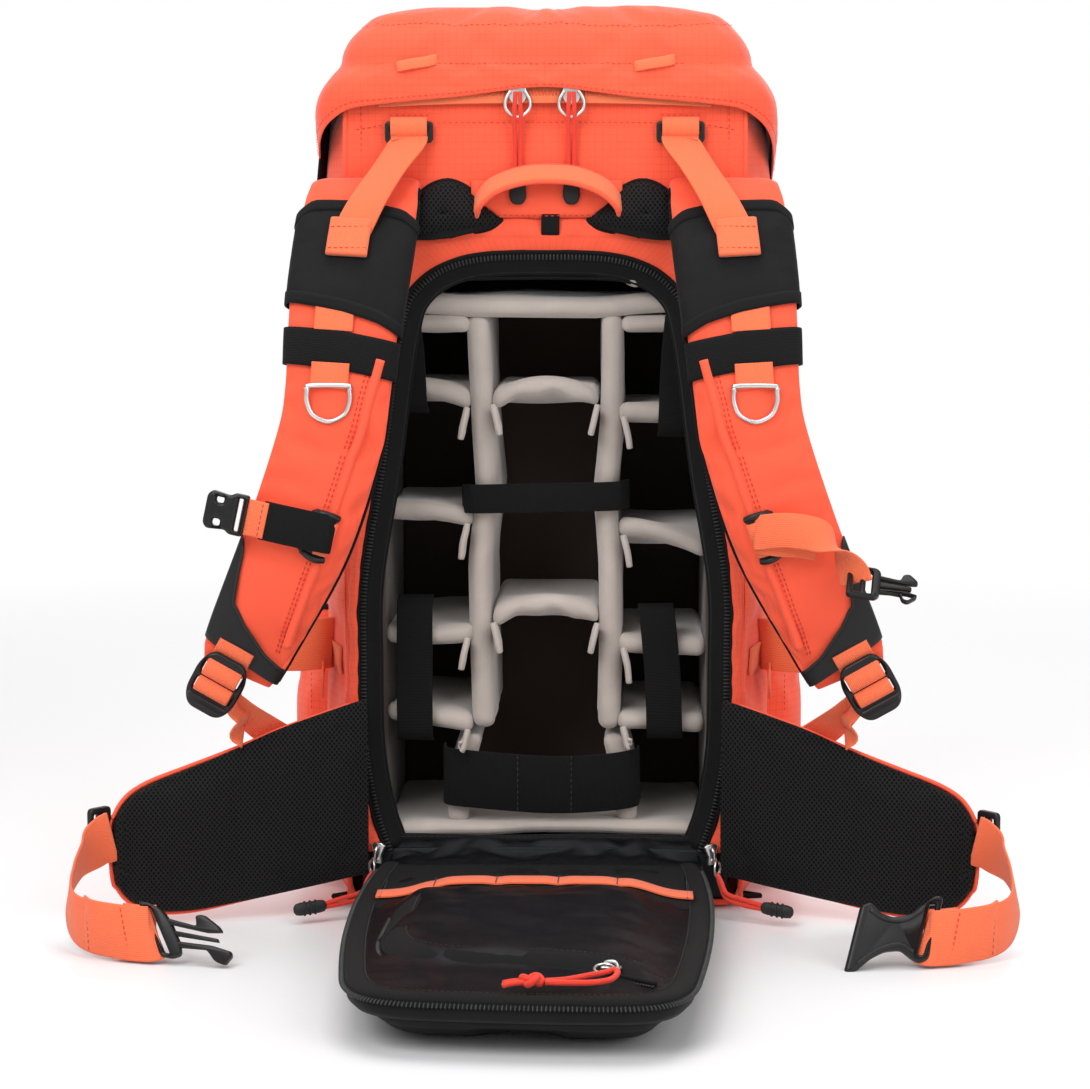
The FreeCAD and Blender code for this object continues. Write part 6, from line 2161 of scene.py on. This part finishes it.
def buckle_small(name, centre, x_axis, y_axis):
    """A ladder buckle on a compression strap."""
    at = axes_place(centre, x_axis, y_axis)
    loops = [rounded_outline([(-13, -15), (13, -15), (13, 15), (-13, 15)], 3.0)]
    for x in (-6, 5):
        loops.append(rounded_outline([(x - 2.4, -11), (x + 2.4, -11), (x + 2.4, 11), (x - 2.4, 11)], 1.2))
    place(cut_plate(name, loops, 5.0, 1.3, at), "pack", plastic_black)


def compression_straps():
    """Three straps round each side, each with a buckle, and the doubled loops by the harness."""
    for side, sign in (("left", -1), ("right", 1)):
        for number, z in enumerate((182.0, 347.0, 472.0)):
            path = [(-150, -104, z - 2), (-155.5, -82, z), (-158.8, -50, z + 1), (-160.4, -10, z + 1), (-159.6, 24, z),
                    (-154.5, 62, z - 1), (-142.5, 94, z - 3), (-120, 116, z - 4), (-92, 122.5, z - 5)]
            path = resample(curve_through(path, 6), 5.0) * (-sign, 1, 1)
            outward = np.cross(tangents(path), (0, 0, sign * 1.0))
            band = laid_strap(f"compression_{number}_{side}", body_surface, path, outward, (0, 0, 1), 20)
            place(band, "pack", strap_web)
            middle = lay_on(body_surface, [(sign * 160.5, -30, z + 1)], (sign, 0, 0), 4.0)[0]
            buckle_small(f"compression_buckle_{number}_{side}", middle, (0.05 * -sign, 1, 0), (0, 0, 1))
            tail = [(162, -40, z), (164.5, -58, z - 4), (164, -76, z - 12), (163, -92, z - 24)]
            tail = [(sign * x, y, height) for x, y, height in tail]
            across = (0, 0.25, 1)
            place(webbing(f"compression_tail_{number}_{side}", tail, 19, across, 1.6, 6), "pack", strap_web)
    loop = [(-157, -76, 190), (-166, -84, 190), (-180, -87, 189.5), (-192, -84, 189), (-193, -80, 189), (-176, -74, 189),
            (-157, -66, 189)]
    strap = webbing("side_loop", loop, 38, (0.16, 0, 1), 1.8, 6)
    right = mirror_copy(strap, "side_loop_right")
    strap.name = "side_loop_left"
    place(strap, "pack", strap_web, "orange_webbing", "compression_webbing")
    place(right, "pack", strap_web)


def front_details():
    """Front of the pack: a long pocket with a curved zip, and two rows of attachment webbing."""
    y = body_front_y + 1.5
    left = [(-84, y, 70), (-90, y, 200), (-88, y, 340), (-74, y, 436), (-40, y, 468), (0, y, 474)]
    path = resample(curve_through(left + [(-x, b, z) for x, b, z in left[:-1]][::-1], 6), 7.0)
    path = lay_on(body_surface, path, (0, 1, 0), 0.4)
    middle = np.array([0, y, 260.0])
    half = curve_through([(x, z) for x, _, z in left], 10)
    across = np.sin(np.linspace(-1, 1, 34) * math.pi / 2)
    rows = []
    for z in 70 + 403 * np.sin(np.linspace(0, 1, 48) * math.pi / 2):
        width = abs(np.interp(z, half[:, 1], half[:, 0]))
        spots = np.column_stack([across * width, np.full(34, y), np.full(34, z)])
        depth = (1 - np.abs(across) ** 6) * min(1.0, (474 - z) / 22) ** 0.6 * min(1.0, (z - 66) / 16)
        puff = 11.0 * depth + noise(spots, 90, seed=101) * 1.6 * depth
        base = lay_on(body_surface, spots, (0, 1, 0), -0.5)
        rows.append(base + np.outer(puff, (0, 1, 0)))
    obj = sheet("front_pocket", np.array(rows), thickness=0)
    relax_cloth(obj, edge_pin(48, 34), pressure=0.4, grow=0.015, cap=3.0)
    thicken(obj, 1.5)
    subdivide(obj)
    place(obj, "pack", fabric)
    pocket_surface = surface_tree(obj)
    rim = path + (0, 1.5, 0)
    place(cord("front_pocket_piping", rim[::3], 1.8, 3), "pack", fabric_plain)
    zip_path = middle + (path - middle) * 0.88
    zip_path = zip_path[zip_path[:, 2] > 210]
    tape = []
    for share, lift in ((1.03, 0.3), (1.0, 1.6), (0.97, 0.3)):
        tape.append(lay_on(pocket_surface, middle + (zip_path - middle) * share, (0, 1, 0), lift))
    place(sheet("front_zip_tape", np.array(tape), thickness=1.2), "pack", binding_black)
    teeth = zip_teeth("front_teeth", tape[1] + (0, 0.8, 0), (0, 1, 0), pitch=2.6, width=4.6, height=1.8)
    place(teeth, "pack", coil_orange)
    for side, sign in (("left", -1), ("right", 1)):
        run = line((sign * 108, body_front_y, 22), (sign * 106, body_front_y, 560), 6.0)
        daisy = laid_strap(f"daisy_{side}", body_surface, run, (0, 1, 0), (1, 0, 0), 20)
        place(daisy, "pack", strap_web)
        daisy_surface = surface_tree(daisy)
        for number, z in enumerate(range(60, 560, 50)):
            bar = line((sign * 99, body_front_y, z), (sign * 115, body_front_y, z), 3)
            bar = lay_on(daisy_surface, bar, (0, 1, 0), 0.2)
            place(stitches(f"daisy_tack_{side}_{number}", bar, (0, 1, 0)), "pack", stitch_thread)


frame_rod()
side_pocket()
compression_straps()
front_details()
